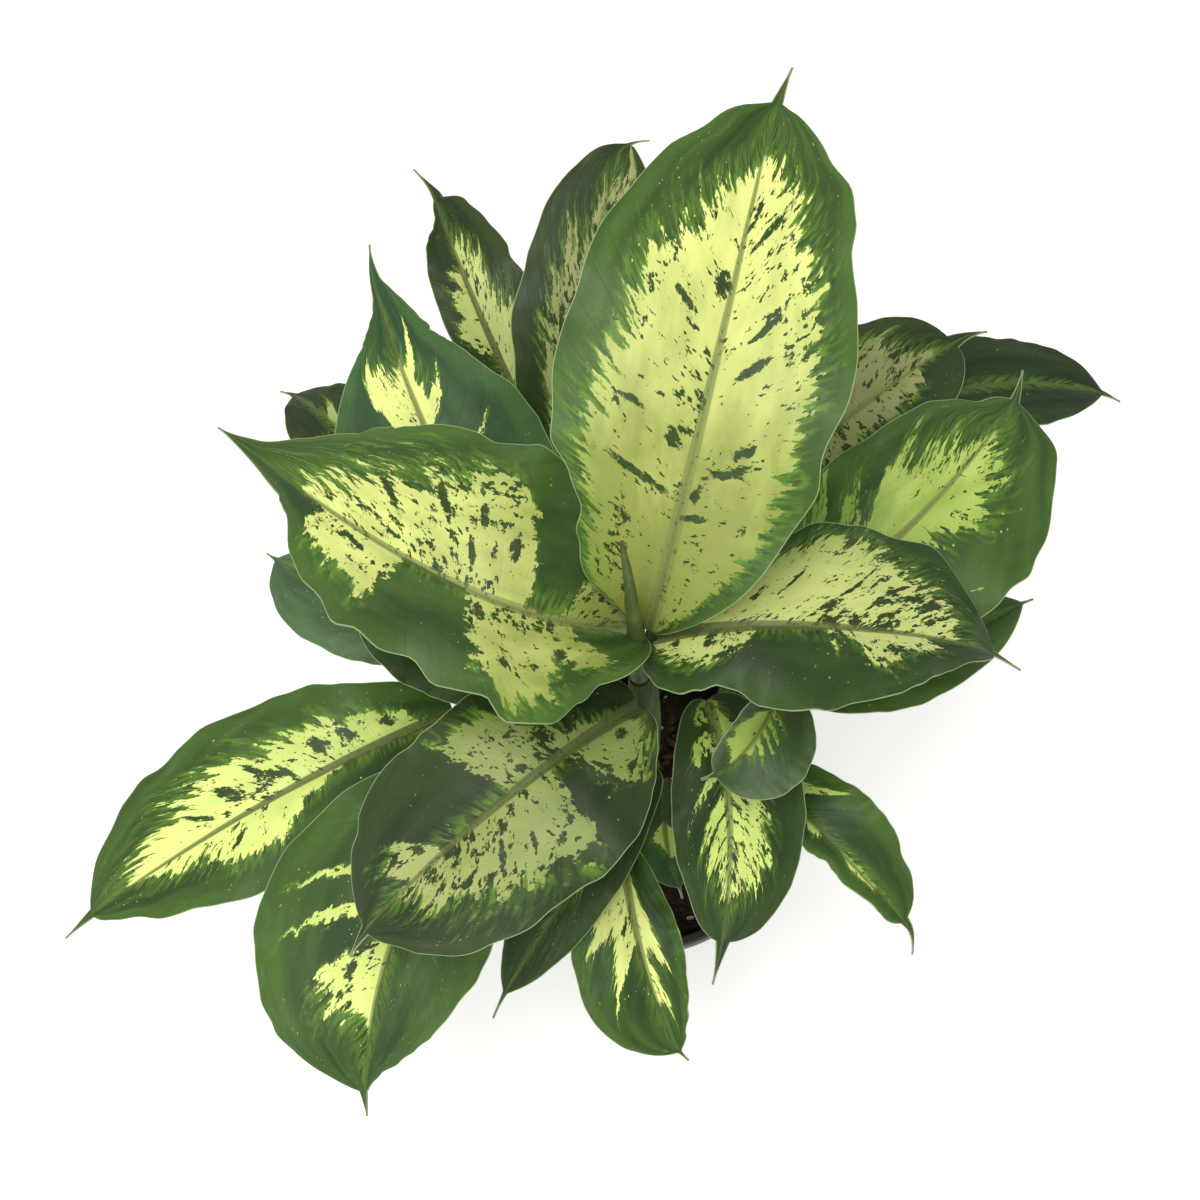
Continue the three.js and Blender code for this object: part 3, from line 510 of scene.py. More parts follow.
class Finish:
    """One material, and the nodes that give it its look."""

    def __init__(self, name):
        self.material = bpy.data.materials.new(name)
        self.material.use_nodes = True
        self.tree = self.material.node_tree
        self.surface = self.tree.nodes["Principled BSDF"]

    def node(self, kind, settings, sockets, output=0):
        """A node with its settings, such as a ramp's stops, and the values or links of its sockets."""
        made = self.tree.nodes.new(kind)
        for name, value in settings.items():
            if name == "stops":
                self.set_stops(made.color_ramp, value)
            else:
                setattr(made, name, value)
        for key, value in sockets.items():
            self.feed(made.inputs[key], value)
        return Value(self, made.outputs[output])

    def feed(self, socket, value):
        if isinstance(value, Value):
            self.tree.links.new(value.socket, socket)
        else:
            socket.default_value = value

    def set_stops(self, ramp, stops):
        while len(ramp.elements) < len(stops):
            ramp.elements.new(1)
        for element, (place, level) in zip(ramp.elements, stops):
            element.position = place
            element.color = (level, level, level, 1)

    def dress(self, **sockets):
        """Sets the surface's own sockets, named with _ for a space."""
        for name, value in sockets.items():
            self.feed(self.surface.inputs[name.replace("_", " ")], value)
        return self.material

    def blend(self, share, first, second):
        """One colour passing into another as the share goes from 0 to 1."""
        settings = {"data_type": "RGBA"}
        return self.node("ShaderNodeMix", settings, {0: share, 6: first, 7: second}, output=2)

    def vector(self, x, y, z):
        return self.node("ShaderNodeCombineXYZ", {}, {0: x, 1: y, 2: z})

    def split(self, vector):
        parts = self.node("ShaderNodeSeparateXYZ", {}, {0: vector})
        outputs = parts.socket.node.outputs
        return [Value(self, outputs[axis]) for axis in range(3)]

    def attribute(self, name, output=2):
        return self.node("ShaderNodeAttribute", {"attribute_name": name}, {}, output)

    def place(self):
        """The point of the surface in the object's own metres."""
        return self.node("ShaderNodeTexCoord", {}, {}, output=3)

    def grain(self, vector, scale, detail, roughness=0.5):
        sockets = {"Vector": vector, "Scale": scale, "Detail": detail, "Roughness": roughness}
        return self.node("ShaderNodeTexNoise", {}, sockets)

    def relief(self, height, depth_mm, strength):
        sockets = {"Strength": strength, "Distance": depth_mm * MM, "Height": height}
        return self.node("ShaderNodeBump", {}, sockets)


# ---- mesh helpers ----

ONE_POINT = 1e-5
UPRIGHT = 0.2


def start_piece():
    """Leaves nothing selected, so that the next operator acts on the new piece alone."""
    if bpy.context.mode != "OBJECT":
        bpy.ops.object.mode_set(mode="OBJECT")
    bpy.ops.object.select_all(action="DESELECT")


def select_only(piece):
    start_piece()
    piece.select_set(True)
    bpy.context.view_layer.objects.active = piece


def apply_modifiers(piece):
    select_only(piece)
    for modifier in list(piece.modifiers):
        bpy.ops.object.modifier_apply(modifier=modifier.name)


@contextmanager
def editing(piece, select="SELECT"):
    """Edit mode, with all of the piece selected or none of it."""
    select_only(piece)
    bpy.ops.object.mode_set(mode="EDIT")
    bpy.ops.mesh.select_all(action=select)
    yield
    bpy.ops.object.mode_set(mode="OBJECT")


def mend_seams(piece):
    """Merges what lies on one point and turns every face outwards."""
    with editing(piece):
        bpy.ops.mesh.remove_doubles(threshold=ONE_POINT)
        bpy.ops.mesh.normals_make_consistent(inside=False)


def join_pieces(name, pieces):
    select_only(pieces[0])
    for piece in pieces[1:]:
        piece.select_set(True)
    bpy.ops.object.join()
    joined = bpy.context.view_layer.objects.active
    joined.name = name
    joined.data.name = name
    return joined


def sheet_grid(name, rows, columns, place_of):
    """A grid primitive whose points go where place_of(along, across) puts them, each from 0 to 1."""
    start_piece()
    bpy.ops.mesh.primitive_grid_add(x_subdivisions=rows, y_subdivisions=columns, size=2)
    piece = bpy.context.active_object
    piece.name = name
    for vertex in piece.data.vertices:
        along, across = (vertex.co.x + 1) / 2, (vertex.co.y + 1) / 2
        vertex.co = place_of(along, across)
    return piece


def frames_along(points):
    """A sideways and an upright direction at each point of a path, turned as little as can be."""
    tangents = []
    for at in range(len(points)):
        ahead, behind = points[min(at + 1, len(points) - 1)], points[max(at - 1, 0)]
        tangents.append((ahead - behind).normalized())
    side = tangents[0].orthogonal().normalized()
    if tangents[0].cross(UP).length > UPRIGHT:
        side = tangents[0].cross(UP).normalized()
    frames = []
    for tangent in tangents:
        side = (side - tangent * side.dot(tangent)).normalized()
        frames.append((side, side.cross(tangent).normalized()))
    return frames


def tube(name, points, sides, radius_at):
    """A grid rolled up round a path and closed at both ends. radius_at(share, angle) is in mm."""
    frames = frames_along(points)
    last = len(points) - 1
    rows = last + 2

    def place_of(along, across):
        row = round(along * rows)
        at = min(max(row - 1, 0), last)
        angle = 2 * math.pi * across
        radius = 0 if row in (0, rows) else radius_at(at / last, angle) * MM
        side, up = frames[at]
        return points[at] + side * radius * math.cos(angle) + up * radius * math.sin(angle)

    piece = sheet_grid(name, rows, sides, place_of)
    mend_seams(piece)
    return piece


def note(piece, name, values):
    """Keeps a number or a vector at each point of the mesh, for the piece's material to read."""
    flat = [number for value in values for number in value] if isinstance(values[0], tuple) else values
    kind, field = ("FLOAT", "value") if flat is values else ("FLOAT_VECTOR", "vector")
    piece.data.attributes.new(name, kind, "POINT").data.foreach_set(field, flat)


def smooth_shading(piece, degrees):
    select_only(piece)
    bpy.ops.object.shade_smooth_by_angle(angle=math.radians(degrees))


def show(piece, slot, *nodes):
    """Hands a finished piece over, with the nodes of the frame that it replaces."""
    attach(piece, "root")
    if nodes:
        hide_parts(*nodes)
    return piece


def point_on(start, handle, end, share):
    return start * (1 - share) ** 2 + handle * (2 * share * (1 - share)) + end * share**2


def direction_on(start, handle, end, share):
    return ((handle - start) * (1 - share) + (end - handle) * share).normalized()


def smoothstep(value, low, high):
    share = min(max((value - low) / (high - low), 0), 1)
    return share * share * (3 - 2 * share)


# ---- leaves ----

BLADE_ROWS = 110
BLADE_COLUMNS = 48
ROW_CROWDING = 0.45
COLUMN_CROWDING = 1.3
VEINS_PER_MM = 1 / 11
QUILT_DEPTH = 0.28
GROOVE_DEPTH = 0.55
GROOVE_HALF_WIDTH = 0.3
GROOVE_STALK_SHARE = 0.62
WANDER = 0.05
FRILL = 2.2
# The swings along a blade: pace, how far apart its halves are in the noise, and layer.
WANDER_SWING = (9, 4.3, 0)
FRILL_SWING = (17, 7.1, 31)
STALK_SIDES = 12
STALK_STEPS = 22
STALK_SMOOTHINGS = 3
STALK_END_RADIUS = 0.3
STALK_THINNING = 1.1
UNDER_RIB_AT = (0.035, 0.07, 0.11, 0.16, 0.22, 0.3, 0.38, 0.46, 0.54, 0.62, 0.7, 0.78, 0.86)
UNDER_RIB_DEPTH = 0.9
SHEATH_SWELL = 1.1
SHEATH_LENGTH = 0.6
SHEATH_CURVE = 0.8
CHANNEL_DEPTH = 0.26
CHANNEL_WIDTH = 0.004
CANE_SAMPLES = 60


def midrib_of(leaf):
    start, through = Vector(leaf["base"]), Vector(leaf["middle"])
    end = Vector(leaf["tip"]) - Vector(leaf["hook"])
    return start, through * 2 - (start + end) / 2, end


def outline_at(v, leaf, half):
    """Share of the full half-width at share v of the way from stalk to tip."""
    tail, widest = leaf["tail"], leaf["widest"][half]
    x = min(v / (1 - tail), 1) ** (math.log(0.5) / math.log(widest))
    sharpening = leaf["sharp"] * smoothstep(x, SHARPENED_FROM, 1)
    body = max(4 * x * (1 - x), 0) ** (BODY_BLUNTNESS + sharpening)
    drawn_out = smoothstep(v, DRAWN_OUT_FROM, 1 - tail)
    drawn_out *= min(DRAWN_OUT_WIDTH, (1 - v) * DRAWN_OUT_NARROWING)
    return body * (1 - drawn_out) + drawn_out


def profile_at(profile, v):
    """A value read off a list of (v, value), eased from one to the next."""
    for (low, first), (high, second) in zip(profile, profile[1:]):
        if v <= high:
            return first + (second - first) * smoothstep(v, low, high)
    return profile[-1][1]


def vein_foot(leaf, half, v, out):
    """Where on the midrib the side vein starts that passes through a point of the blade."""
    at_base, growth = leaf["sweep"][half]
    return v - (at_base + growth * v) * out


def swing(v, side, seed, pace, apart, layer):
    """A slow random swing along the blade, its own for either half."""
    return noise.noise(Vector((v * pace, side * apart, seed + layer)))


def blade_point(leaf, rib, v, across, seed):
    """A point of the upper face in mm, its distance from the midrib and from the margin."""
    side, out = (1 if across >= 0 else -1), abs(across)
    half = 0 if side > 0 else 1
    along = direction_on(*rib, v)
    left = UP.cross(along).normalized()
    normal = along.cross(left)
    outline = outline_at(v, leaf, half)
    width = leaf["half_width"][half] * outline * (1 + WANDER * swing(v, side, seed, *WANDER_SWING))
    width *= profile_at(leaf["edge"][half], v)
    width = max(width + leaf["stalk"] * (1 - v) ** HEEL_FADE, TIP_HALF_WIDTH)
    reach = out * width
    fold = math.radians(leaf["fold"][half])
    wave = math.sin(2 * math.pi * (leaf["waves"] * v + MARGIN_PHASE[half]))
    length = (rib[2] - rib[0]).length
    quilt = math.sin(math.pi * vein_foot(leaf, half, v, out) * length * VEINS_PER_MM) ** 2
    groove_width = GROOVE_HALF_WIDTH + leaf["stalk"] * GROOVE_STALK_SHARE * (1 - v)
    groove = math.exp(-((reach / groove_width) ** 2))
    rise = reach * math.sin(fold)
    rise -= leaf["cup"] * reach * reach / (2 * leaf["half_width"][half])
    rise += leaf["ripple"] * out**3 * outline * wave
    rise += FRILL * out**4 * outline * swing(v, side, seed, *FRILL_SWING)
    rise += QUILT_DEPTH * quilt * outline * min(out * 4, 1) * (1 - 0.5 * out)
    rise -= GROOVE_DEPTH * groove * (1 - v) ** 0.5
    lobe = leaf["lobe"][half] * reach * (1 - v) ** LOBE_FADE
    hooked = max(0, (v - HOOK_FROM) / (1 - HOOK_FROM)) ** 2
    place = point_on(*rib, v) + left * (side * reach * math.cos(fold)) + normal * rise
    place += Vector(leaf["hook"]) * hooked - along * lobe
    return place, reach, width - reach


def blade_share(along):
    """Rows lie closer together at the base and at the tip."""
    eased = (1 - math.cos(math.pi * along)) / 2
    return (1 - ROW_CROWDING) * along + ROW_CROWDING * eased


def across_share(across):
    """Columns lie closer together at the midrib. across goes from 0 to 1 over the whole blade."""
    share = 2 * across - 1
    return math.copysign(abs(share) ** COLUMN_CROWDING, share)


def blade(name, leaf, seed):
    rib = midrib_of(leaf)
    marks = []

    def place_of(along, across):
        v, share = blade_share(along), across_share(across)
        place, reach, rim = blade_point(leaf, rib, v, share, seed)
        marks.append((v, share, reach, rim))
        return place * MM

    piece = sheet_grid(f"blade_{name}", BLADE_ROWS, BLADE_COLUMNS, place_of)
    note(piece, "blade", [(v, share, reach) for v, share, reach, _ in marks])
    note(piece, "rim", [rim for *_, rim in marks])
    piece.data.materials.append(blade_finish(name, leaf, seed, False))
    piece.data.materials.append(blade_finish(name, leaf, seed, True))
    shell = piece.modifiers.new("thickness", "SOLIDIFY")
    shell.thickness = BLADE_THICKNESS * MM
    shell.offset = -1
    shell.material_offset = 1
    apply_modifiers(piece)
    return piece


def cane_line(spec):
    foot = Vector((*spec["foot"], SOIL_TOP))
    tip = Vector(spec["top"])
    lean = Vector((tip.x - foot.x, tip.y - foot.y, 0))
    buried = foot + lean * CANE_BURIED_LEAN
    buried.z = CANE_FOOT
    bend = foot + lean * CANE_BEND_LEAN
    bend.z = (SOIL_TOP + tip.z) / 2
    return buried, bend, tip


def point_at_height(line, height):
    for step in range(CANE_SAMPLES + 1):
        place = point_on(*line, step / CANE_SAMPLES)
        if place.z >= height:
            return place
    return line[2].copy()


def under_rib(rib, v, depth):
    along = direction_on(*rib, v)
    return point_on(*rib, v) - along.cross(UP.cross(along).normalized()) * depth


def stalk_path(leaf):
    """From the cane's middle, out and up to the blade, and on under the midrib to near the tip."""
    rib = midrib_of(leaf)
    start = point_at_height(cane_line(CANES[leaf["cane"]]), leaf["joins"])
    dip = leaf["stalk"] * STALK_DIP
    seat = under_rib(rib, 0, dip)
    along = direction_on(*rib, 0)
    span, rise = (start - seat).length, seat.z - start.z
    outward = Vector((seat.x - start.x, seat.y - start.y, 0))
    first = start + UP * rise * STALK_RISE + outward * STALK_OUTWARD
    second = seat - along * span * STALK_RUN_UP - UP * rise * STALK_RISE
    points = []
    for step in range(STALK_STEPS + 1):
        t = step / STALK_STEPS
        place = start * (1 - t) ** 3 + first * (3 * t * (1 - t) ** 2)
        points.append(place + second * (3 * t * t * (1 - t)) + seat * t**3)
    stalk_end = len(points)
    for v in UNDER_RIB_AT:
        points.append(under_rib(rib, v, dip * (1 - v) ** 2 + UNDER_RIB_DEPTH))
    for _ in range(STALK_SMOOTHINGS):
        inner = points[1:-1]
        for at, place in enumerate(inner, start=1):
            points[at] = place / 2 + (points[at - 1] + points[at + 1]) / 4
    return points, stalk_end / len(points)


def stalk(name, leaf):
    points, blade_from = stalk_path(leaf)
    radius = leaf["stalk"]

    def radius_at(share, angle):
        if share < blade_from:
            way = share / blade_from
            size = radius * (STALK_FOOT_SWELL + (STALK_TOP_TAPER - STALK_FOOT_SWELL) * way)
            clasp = SHEATH_SWELL * max(0, 1 - way / SHEATH_LENGTH) ** SHEATH_CURVE
            from_above = math.cos((angle - math.pi / 2) / 2) ** 2 - 1
            channel = CHANNEL_DEPTH * math.exp(-(from_above**2) / CHANNEL_WIDTH)
            return size * (1 + clasp - channel * min(way * 4, 1))
        way = (share - blade_from) / (1 - blade_from)
        return max(radius * STALK_TOP_TAPER * (1 - way) ** STALK_THINNING, STALK_END_RADIUS)

    piece = tube(f"stalk_{name}", [place * MM for place in points], STALK_SIDES, radius_at)
    piece.data.materials.append(stalk_finish())
    return piece


def leaf_piece(name, leaf, seed):
    made = join_pieces(f"grown_leaf_{name}", [blade(name, leaf, seed), stalk(name, leaf)])
    smooth_shading(made, 50)
    return show(made, "leaf_blade", f"leaf_{name}")


# ---- finishes of the leaves ----

LEAF_GLOSS = 0.24
FACE_ROUGHNESS = 0.36
UNDERSIDE_ROUGHNESS = 0.5
HALVES_APART = 61
LEAVES_APART = 3.7
LAYERS_APART = 11.3
VEIN_WAVER = 0.08
FINGERS = 0.75
CROWDING = 0.3
ISLAND_WOBBLE = 6
GLOW_MOTTLE = 0.9
RIB_WIDTH = 0.95
RIB_TIP_WIDTH = 0.5
CREASE_SHARE = 0.4
# Noises drawn out along the side veins: cell along and across them in mm, layer, detail, roughness.
STREAKS = {
    "waver": (7, 9, 14, 4, 0.7),
    "feather": (3.2, 22, 1, 4, 0.65),
    "crowding": (40, 30, 12, 1, 0.5),
    "blotch": (5, 10, 2, 5, 0.7),
    "fleck": (2.2, 7, 3, 3, 0.5),
    "island": (2.6, 6, 13, 5, 0.75),
    "fringe": (1.7, 12, 4, 3, 0.5),
    "dot": (1.3, 2.6, 5, 1, 0.5),
    "dot patch": (26, 26, 6, 1, 0.5),
    "light": (34, 22, 7, 3, 0.5),
    "strand": (1.5, 24, 8, 2, 0.5),
    "glow": (22, 18, 9, 3, 0.5),
    "gloss": (9, 9, 11, 2, 0.5),
    "relief": (1.2, 9, 10, 2, 0.5),
}
# Dark spots in the cream: noise level that starts one, its drop on a blotchy leaf, softness.
SPOTS = {"blotch": (0.64, 0.08, 0.012), "fleck": (0.68, 0.05, 0.02)}


class BladeFinish(Finish):
    """The look of a blade, drawn in shares: v from stalk to tip, and out from midrib to margin."""

    def __init__(self, name, leaf, seed):
        super().__init__(name)
        self.leaf = leaf
        self.seed = seed
        self.v, self.share, self.reach_mm = self.split(self.attribute("blade", output=1))
        self.left = self.share.math("GREATER_THAN", 0)
        self.out = self.share.math("ABSOLUTE")
        at_base, growth = (self.of_half(*pair) for pair in zip(*leaf["sweep"]))
        sweep = self.v * growth + at_base
        length = (Vector(leaf["tip"]) - Vector(leaf["base"])).length
        width = sweep.math("ABSOLUTE") * length + max(leaf["half_width"])
        self.foot = self.v - sweep * self.out
        self.along = self.foot * length
        self.aside = self.out * width + self.left * HALVES_APART

    def of_half(self, left, right):
        """The first on the left half of the blade, and the second on its right half."""
        return self.left * (left - right) + right

    def streaks(self, name):
        along_mm, aside_mm, layer, detail, roughness = STREAKS[name]
        apart = self.seed * LEAVES_APART + layer * LAYERS_APART
        vector = self.vector(self.along / along_mm, self.aside / aside_mm, apart)
        return self.grain(vector, 1, detail, roughness)

    def inside_cream(self):
        """How far a point lies inside the cream's ragged edge, as a share of the half's width."""
        marked = self.foot + (self.streaks("waver") - 0.5) * VEIN_WAVER
        reach = self.of_half(*[
            self.node("ShaderNodeValToRGB", {"stops": marks}, {"Fac": marked}) for marks in self.leaf["marks"]
        ])
        feather = self.streaks("feather") - 0.5
        return reach + feather * (reach * 4).clamped() * FINGERS - self.out

    def dark_spots(self):
        """Blotches, flecks and the islands of the leaf's own entry."""
        crowding = (self.streaks("crowding") - 0.5) * CROWDING
        spots = [
            (self.streaks(kind) + crowding).over(level - drop * self.leaf["blotch"], softness)
            for kind, (level, drop, softness) in SPOTS.items()
        ]
        dark = spots[0].math("MAXIMUM", spots[1])
        wobble = (self.streaks("island") - 0.5) * ISLAND_WOBBLE
        for place, aside, long, wide, slant in self.leaf["islands"]:
            lean = slant * math.copysign(1, aside)
            lengthways = (self.v - self.share * lean - (place - aside * lean)) / long
            sideways = (self.share - aside) / wide
            near = wobble + 1 - (lengthways * lengthways + sideways * sideways)
            dark = dark.math("MAXIMUM", near.over(0, 0.3))
        return dark

    def pale_dots(self):
        """Dots in patches, none of them near the margin."""
        patches = self.streaks("dot patch").over(0.52, 0.05)
        return self.streaks("dot").over(0.735, 0.03) * patches * self.out.over(0.9, -0.06)

    def green(self, inside, dark):
        """Two greens in broad clouds, with a lime fringe round the cream and dark spots in it."""
        lit, deep = GREENS[self.leaf["green"]]
        clouds = self.streaks("light").over(0.36, 0.28) * 0.7 + self.out.over(0.5, 0.5) * 0.5
        fringe = (inside + 0.2).over(0, 0.2) * (1 - dark * 0.7) * self.streaks("fringe").over(0.4, 0.16)
        green = self.blend(clouds.clamped(), deep, lit)
        green = self.blend(self.streaks("strand").over(0.5, 0.3) * 0.25, green, deep)
        green = self.blend(fringe * 0.75, green, LIME_FRINGE)
        return self.blend(dark * inside.over(-0.05, 0.1) * 0.65, green, BLOTCH_GREEN)

    def yellow(self):
        """The cream, partly its own shade and partly painted light and shade, turning to lime towards the
        margin.
        """
        pale, rich = CREAMS[self.leaf["cream"]]
        low, high = self.leaf["glow"]
        # Partly painted light and shade: the cream is darker at the stalk and paler towards the tip.
        glow = self.v * (high - low) + low + (self.streaks("glow") - 0.5) * GLOW_MOTTLE
        yellow = self.blend(glow.clamped(), rich, pale)
        return self.blend(self.out.over(0.5, 0.5) * 0.4, yellow, LIME_FRINGE)

    def with_lines(self, colour, cream):
        """The colour with the midrib, painted shade in the crease along it, and the pale line along the
        margin.
        """
        width = (1 - self.v) * (RIB_WIDTH * self.leaf["stalk"]) + RIB_TIP_WIDTH
        rib = (width - self.reach_mm).over(0, 0.5)
        crease = (width * CREASE_SHARE - self.reach_mm).over(0, 0.5)
        rib_shade = self.blend(cream * 0.7 + 0.1, MIDRIB_GREEN, MIDRIB_PALE)
        if self.leaf["rib"] == "olive":
            rib_shade = self.blend((self.v * self.v * 0.8).clamped(), MIDRIB_OLIVE, rib_shade)
        colour = self.blend(rib * 0.85, colour, rib_shade)
        # Painted shade: a darker green along the crease in the midrib.
        colour = self.blend(crease * 0.35, colour, MIDRIB_GREEN)
        margin = self.attribute("rim").over(0.5, -0.3)
        return self.blend(margin * 0.75, colour, MARGIN_LINE)

    def vein_relief(self):
        """Streaks, with the side veins and finer ones between them sunk in."""
        vein = (self.along * VEINS_PER_MM).math("PINGPONG", 0.5).over(0.06, -0.06)
        finer = (self.along * VEINS_PER_MM * 3).math("PINGPONG", 0.5).over(0.12, -0.12)
        return self.relief(self.streaks("relief") * 0.35 - vein * 0.3 - finer * 0.1, 0.35, 0.5)


def blade_finish(name, leaf, seed, underside):
    """Green blade with cream between the side veins, blotched and flecked along them."""
    made = BladeFinish(f"leaf {name} {'underside' if underside else 'face'}", leaf, seed)
    inside = made.inside_cream()
    dark = made.dark_spots()
    cream = inside.over(0, 0.02) * (1 - dark)
    pale = cream.math("MAXIMUM", made.pale_dots())
    colour = made.with_lines(made.blend(pale, made.green(inside, dark), made.yellow()), cream)
    if underside:
        colour = made.blend(0.5, colour, UNDERSIDE_VEIL)
    return made.dress(
        Base_Color=colour,
        Roughness=made.streaks("gloss") * 0.14 + (UNDERSIDE_ROUGHNESS if underside else FACE_ROUGHNESS),
        Specular_IOR_Level=LEAF_GLOSS,
        Normal=made.vein_relief(),
    )


# ---- finishes of the stalks, the canes and the new leaf ----

STALK_GLOSS = 0.14
SCAR_PAIRS = CANE_RINGS / 2


@cache
def stalk_finish():
    made = Finish("leaf stalk")
    place = made.place()
    broad = made.grain(place, 60, 3)
    fine = made.grain(place, 420, 2)
    # Partly painted shade: the stalk's greens are kept dark for the shade in the crown.
    colour = made.blend(broad.over(0.4, 0.2), *STALK_GREENS_AND_SHADE)
    colour = made.blend(fine.over(0.6, 0.05) * 0.4, colour, STALK_FLECK)
    return made.dress(
        Base_Color=colour,
        Roughness=0.52 + broad * 0.15,
        Specular_IOR_Level=STALK_GLOSS,
        Normal=made.relief(fine, 0.15, 0.4),
    )


@cache
def cane_finish():
    """Green cane with a brown line at each leaf scar and corky flecks, and painted shade darkening its top.
    """
    made = Finish("cane")
    share = made.attribute("cane_share")
    place = made.place()
    broad = made.grain(place, 55, 3)
    fine = made.grain(place, 380, 3)
    colour = made.blend(broad.over(0.38, 0.24), *CANE_GREENS)
    scar = (share * SCAR_PAIRS + broad * 0.08).math("PINGPONG", 0.5).over(0.045, -0.03)
    colour = made.blend(scar * 0.8, colour, CANE_SCAR)
    colour = made.blend(fine.over(0.6, 0.05) * 0.5, colour, CANE_CORK)
    colour = made.blend(share.over(0.36, -0.06) * 0.6, colour, CANE_FOOT_BROWN)
    # Painted shade: the top of the cane is darkened where the crown shades it.
    colour = made.blend(share.over(0.8, 0.15) * 0.5, colour, CANE_TOP_SHADE)
    return made.dress(
        Base_Color=colour,
        Roughness=0.55 + broad * 0.2,
        Specular_IOR_Level=STALK_GLOSS,
        Normal=made.relief(fine - scar * 0.8, 0.4, 0.6),
    )


@cache
def new_leaf_finish():
    """The pale underside of the leaf still rolled up, with its edge line running round it, and painted shade
    at its foot.
    """
    made = Finish("new leaf")
    around, height, _ = made.split(made.attribute("roll", output=1))
    place = made.place()
    broad = made.grain(place, 70, 2)
    colour = made.blend(broad.over(0.4, 0.2), *NEW_LEAF_GREENS)
    edge = around.over(0.06, -0.05)
    colour = made.blend(edge * 0.7, colour, NEW_LEAF_EDGE)
    veins = (around * 26).math("PINGPONG", 0.5).over(0.2, -0.2)
    colour = made.blend(veins * 0.2, colour, NEW_LEAF_VEIN)
    # Painted shade: the lower part of the rolled leaf is darkened where the crown shades it.
    colour = made.blend(height.over(0.45, -0.35) * 0.6, colour, NEW_LEAF_FOOT_SHADE)
    colour = made.blend(height.over(0.93, 0.04) * 0.85, colour, NEW_LEAF_TIP)
    return made.dress(
        Base_Color=colour,
        Roughness=0.36 + broad * 0.15,
        Normal=made.relief(0.3 * broad - veins * 0.3, 0.3, 0.5),
    )


# ---- canes and the rolled new leaf ----

CANE_STEPS = 84
CANE_SIDES = 28
CANE_SLIMMING = 0.96
CANES_APART = 5.3
SCAR_WIDTH = 0.012
SCAR_HEIGHT = 0.09
WAIST_DEPTH = 0.035
LUMP_HEIGHT = 0.03
LUMPS_AROUND = 1.6
LUMPS_ALONG = 14
SHEATH_CREASE = 0.08
SHEATH_TWIST = 9
NEW_LEAF_STEPS = 48
NEW_LEAF_SIDES = 40
NEW_LEAF_TURNS = 2.2
NEW_LEAF_LAP = 0.14
NEW_LEAF_SEAT = 0.3


def cane_piece(name, spec, seed):
    line = cane_line(spec)
    points = [point_on(*line, step / CANE_STEPS) * MM for step in range(CANE_STEPS + 1)]

    def radius_at(share, angle):
        to_scar = abs((share * SCAR_PAIRS + 0.5) % 1 - 0.5) / SCAR_PAIRS
        scar = SCAR_HEIGHT * math.exp(-((to_scar / SCAR_WIDTH) ** 2))
        waist = WAIST_DEPTH * math.cos(2 * math.pi * share * SCAR_PAIRS)
        stem = spec["radius"] * (1 - CANE_TAPER * share) * (CANE_SLIMMING + scar + waist)
        around = Vector((math.cos(angle), math.sin(angle), 0)) * LUMPS_AROUND
        stem *= 1 + LUMP_HEIGHT * noise.noise(around + UP * (share * LUMPS_ALONG + seed))
        if share <= SHEATH_FROM:
            return stem
        closing = (share - SHEATH_FROM) / (1 - SHEATH_FROM)
        end = spec.get("flat_top", CANE_TIP_RADIUS)
        crease = SHEATH_CREASE * math.sin(angle * 2 + share * SHEATH_TWIST) * closing
        return (stem + (end - stem) * closing) * (1 + crease)

    piece = tube(f"grown_cane_{name}", points, CANE_SIDES, radius_at)
    low, high = line[0].z * MM, line[2].z * MM
    note(piece, "cane_share", [(vertex.co.z - low) / (high - low) for vertex in piece.data.vertices])
    piece.data.materials.append(cane_finish())
    smooth_shading(piece, 50)
    return show(piece, "cane_green", f"cane_{name}")


def new_leaf_piece():
    line = cane_line(CANES["centre"])
    along = direction_on(*line, 1)
    start = Vector(CANES["centre"]["top"]) + along * NEW_LEAF_SEAT
    end = Vector(NEW_LEAF_TOP)
    handle = start + along * ((end - start).length / 2)
    shares = [step / NEW_LEAF_STEPS for step in range(NEW_LEAF_STEPS + 1)]
    points = [point_on(start, handle, end, share) * MM for share in shares]

    def roll_at(share, angle):
        return (angle / (2 * math.pi) + share * NEW_LEAF_TURNS) % 1

    def radius_at(share, angle):
        radius = NEW_LEAF_RADIUS + (NEW_LEAF_TIP_RADIUS - NEW_LEAF_RADIUS) * share**NEW_LEAF_TAPER
        return radius * (1 - NEW_LEAF_LAP * (1 - roll_at(share, angle)))

    piece = tube("grown_new_leaf", points, NEW_LEAF_SIDES, radius_at)
    frames = frames_along(points)
    rolls = []
    for vertex in piece.data.vertices:
        at = min(range(len(points)), key=lambda i: (points[i] - vertex.co).length)
        side, up = frames[at]
        away = vertex.co - points[at]
        angle = math.atan2(away.dot(up), away.dot(side)) % (2 * math.pi)
        rolls.append((roll_at(shares[at], angle), shares[at], 0))
    note(piece, "roll", rolls)
    piece.data.materials.append(new_leaf_finish())
    smooth_shading(piece, 60)
    return show(piece, "new_leaf", "new_leaf_centre")


# ---- pot ----

FOOT_RECESS = 1.6
STEP_HEIGHT = 9
STEP_WIDTH = 0.7
CUTTER_DEPTH = 20
CUTTER_SIDES = 24


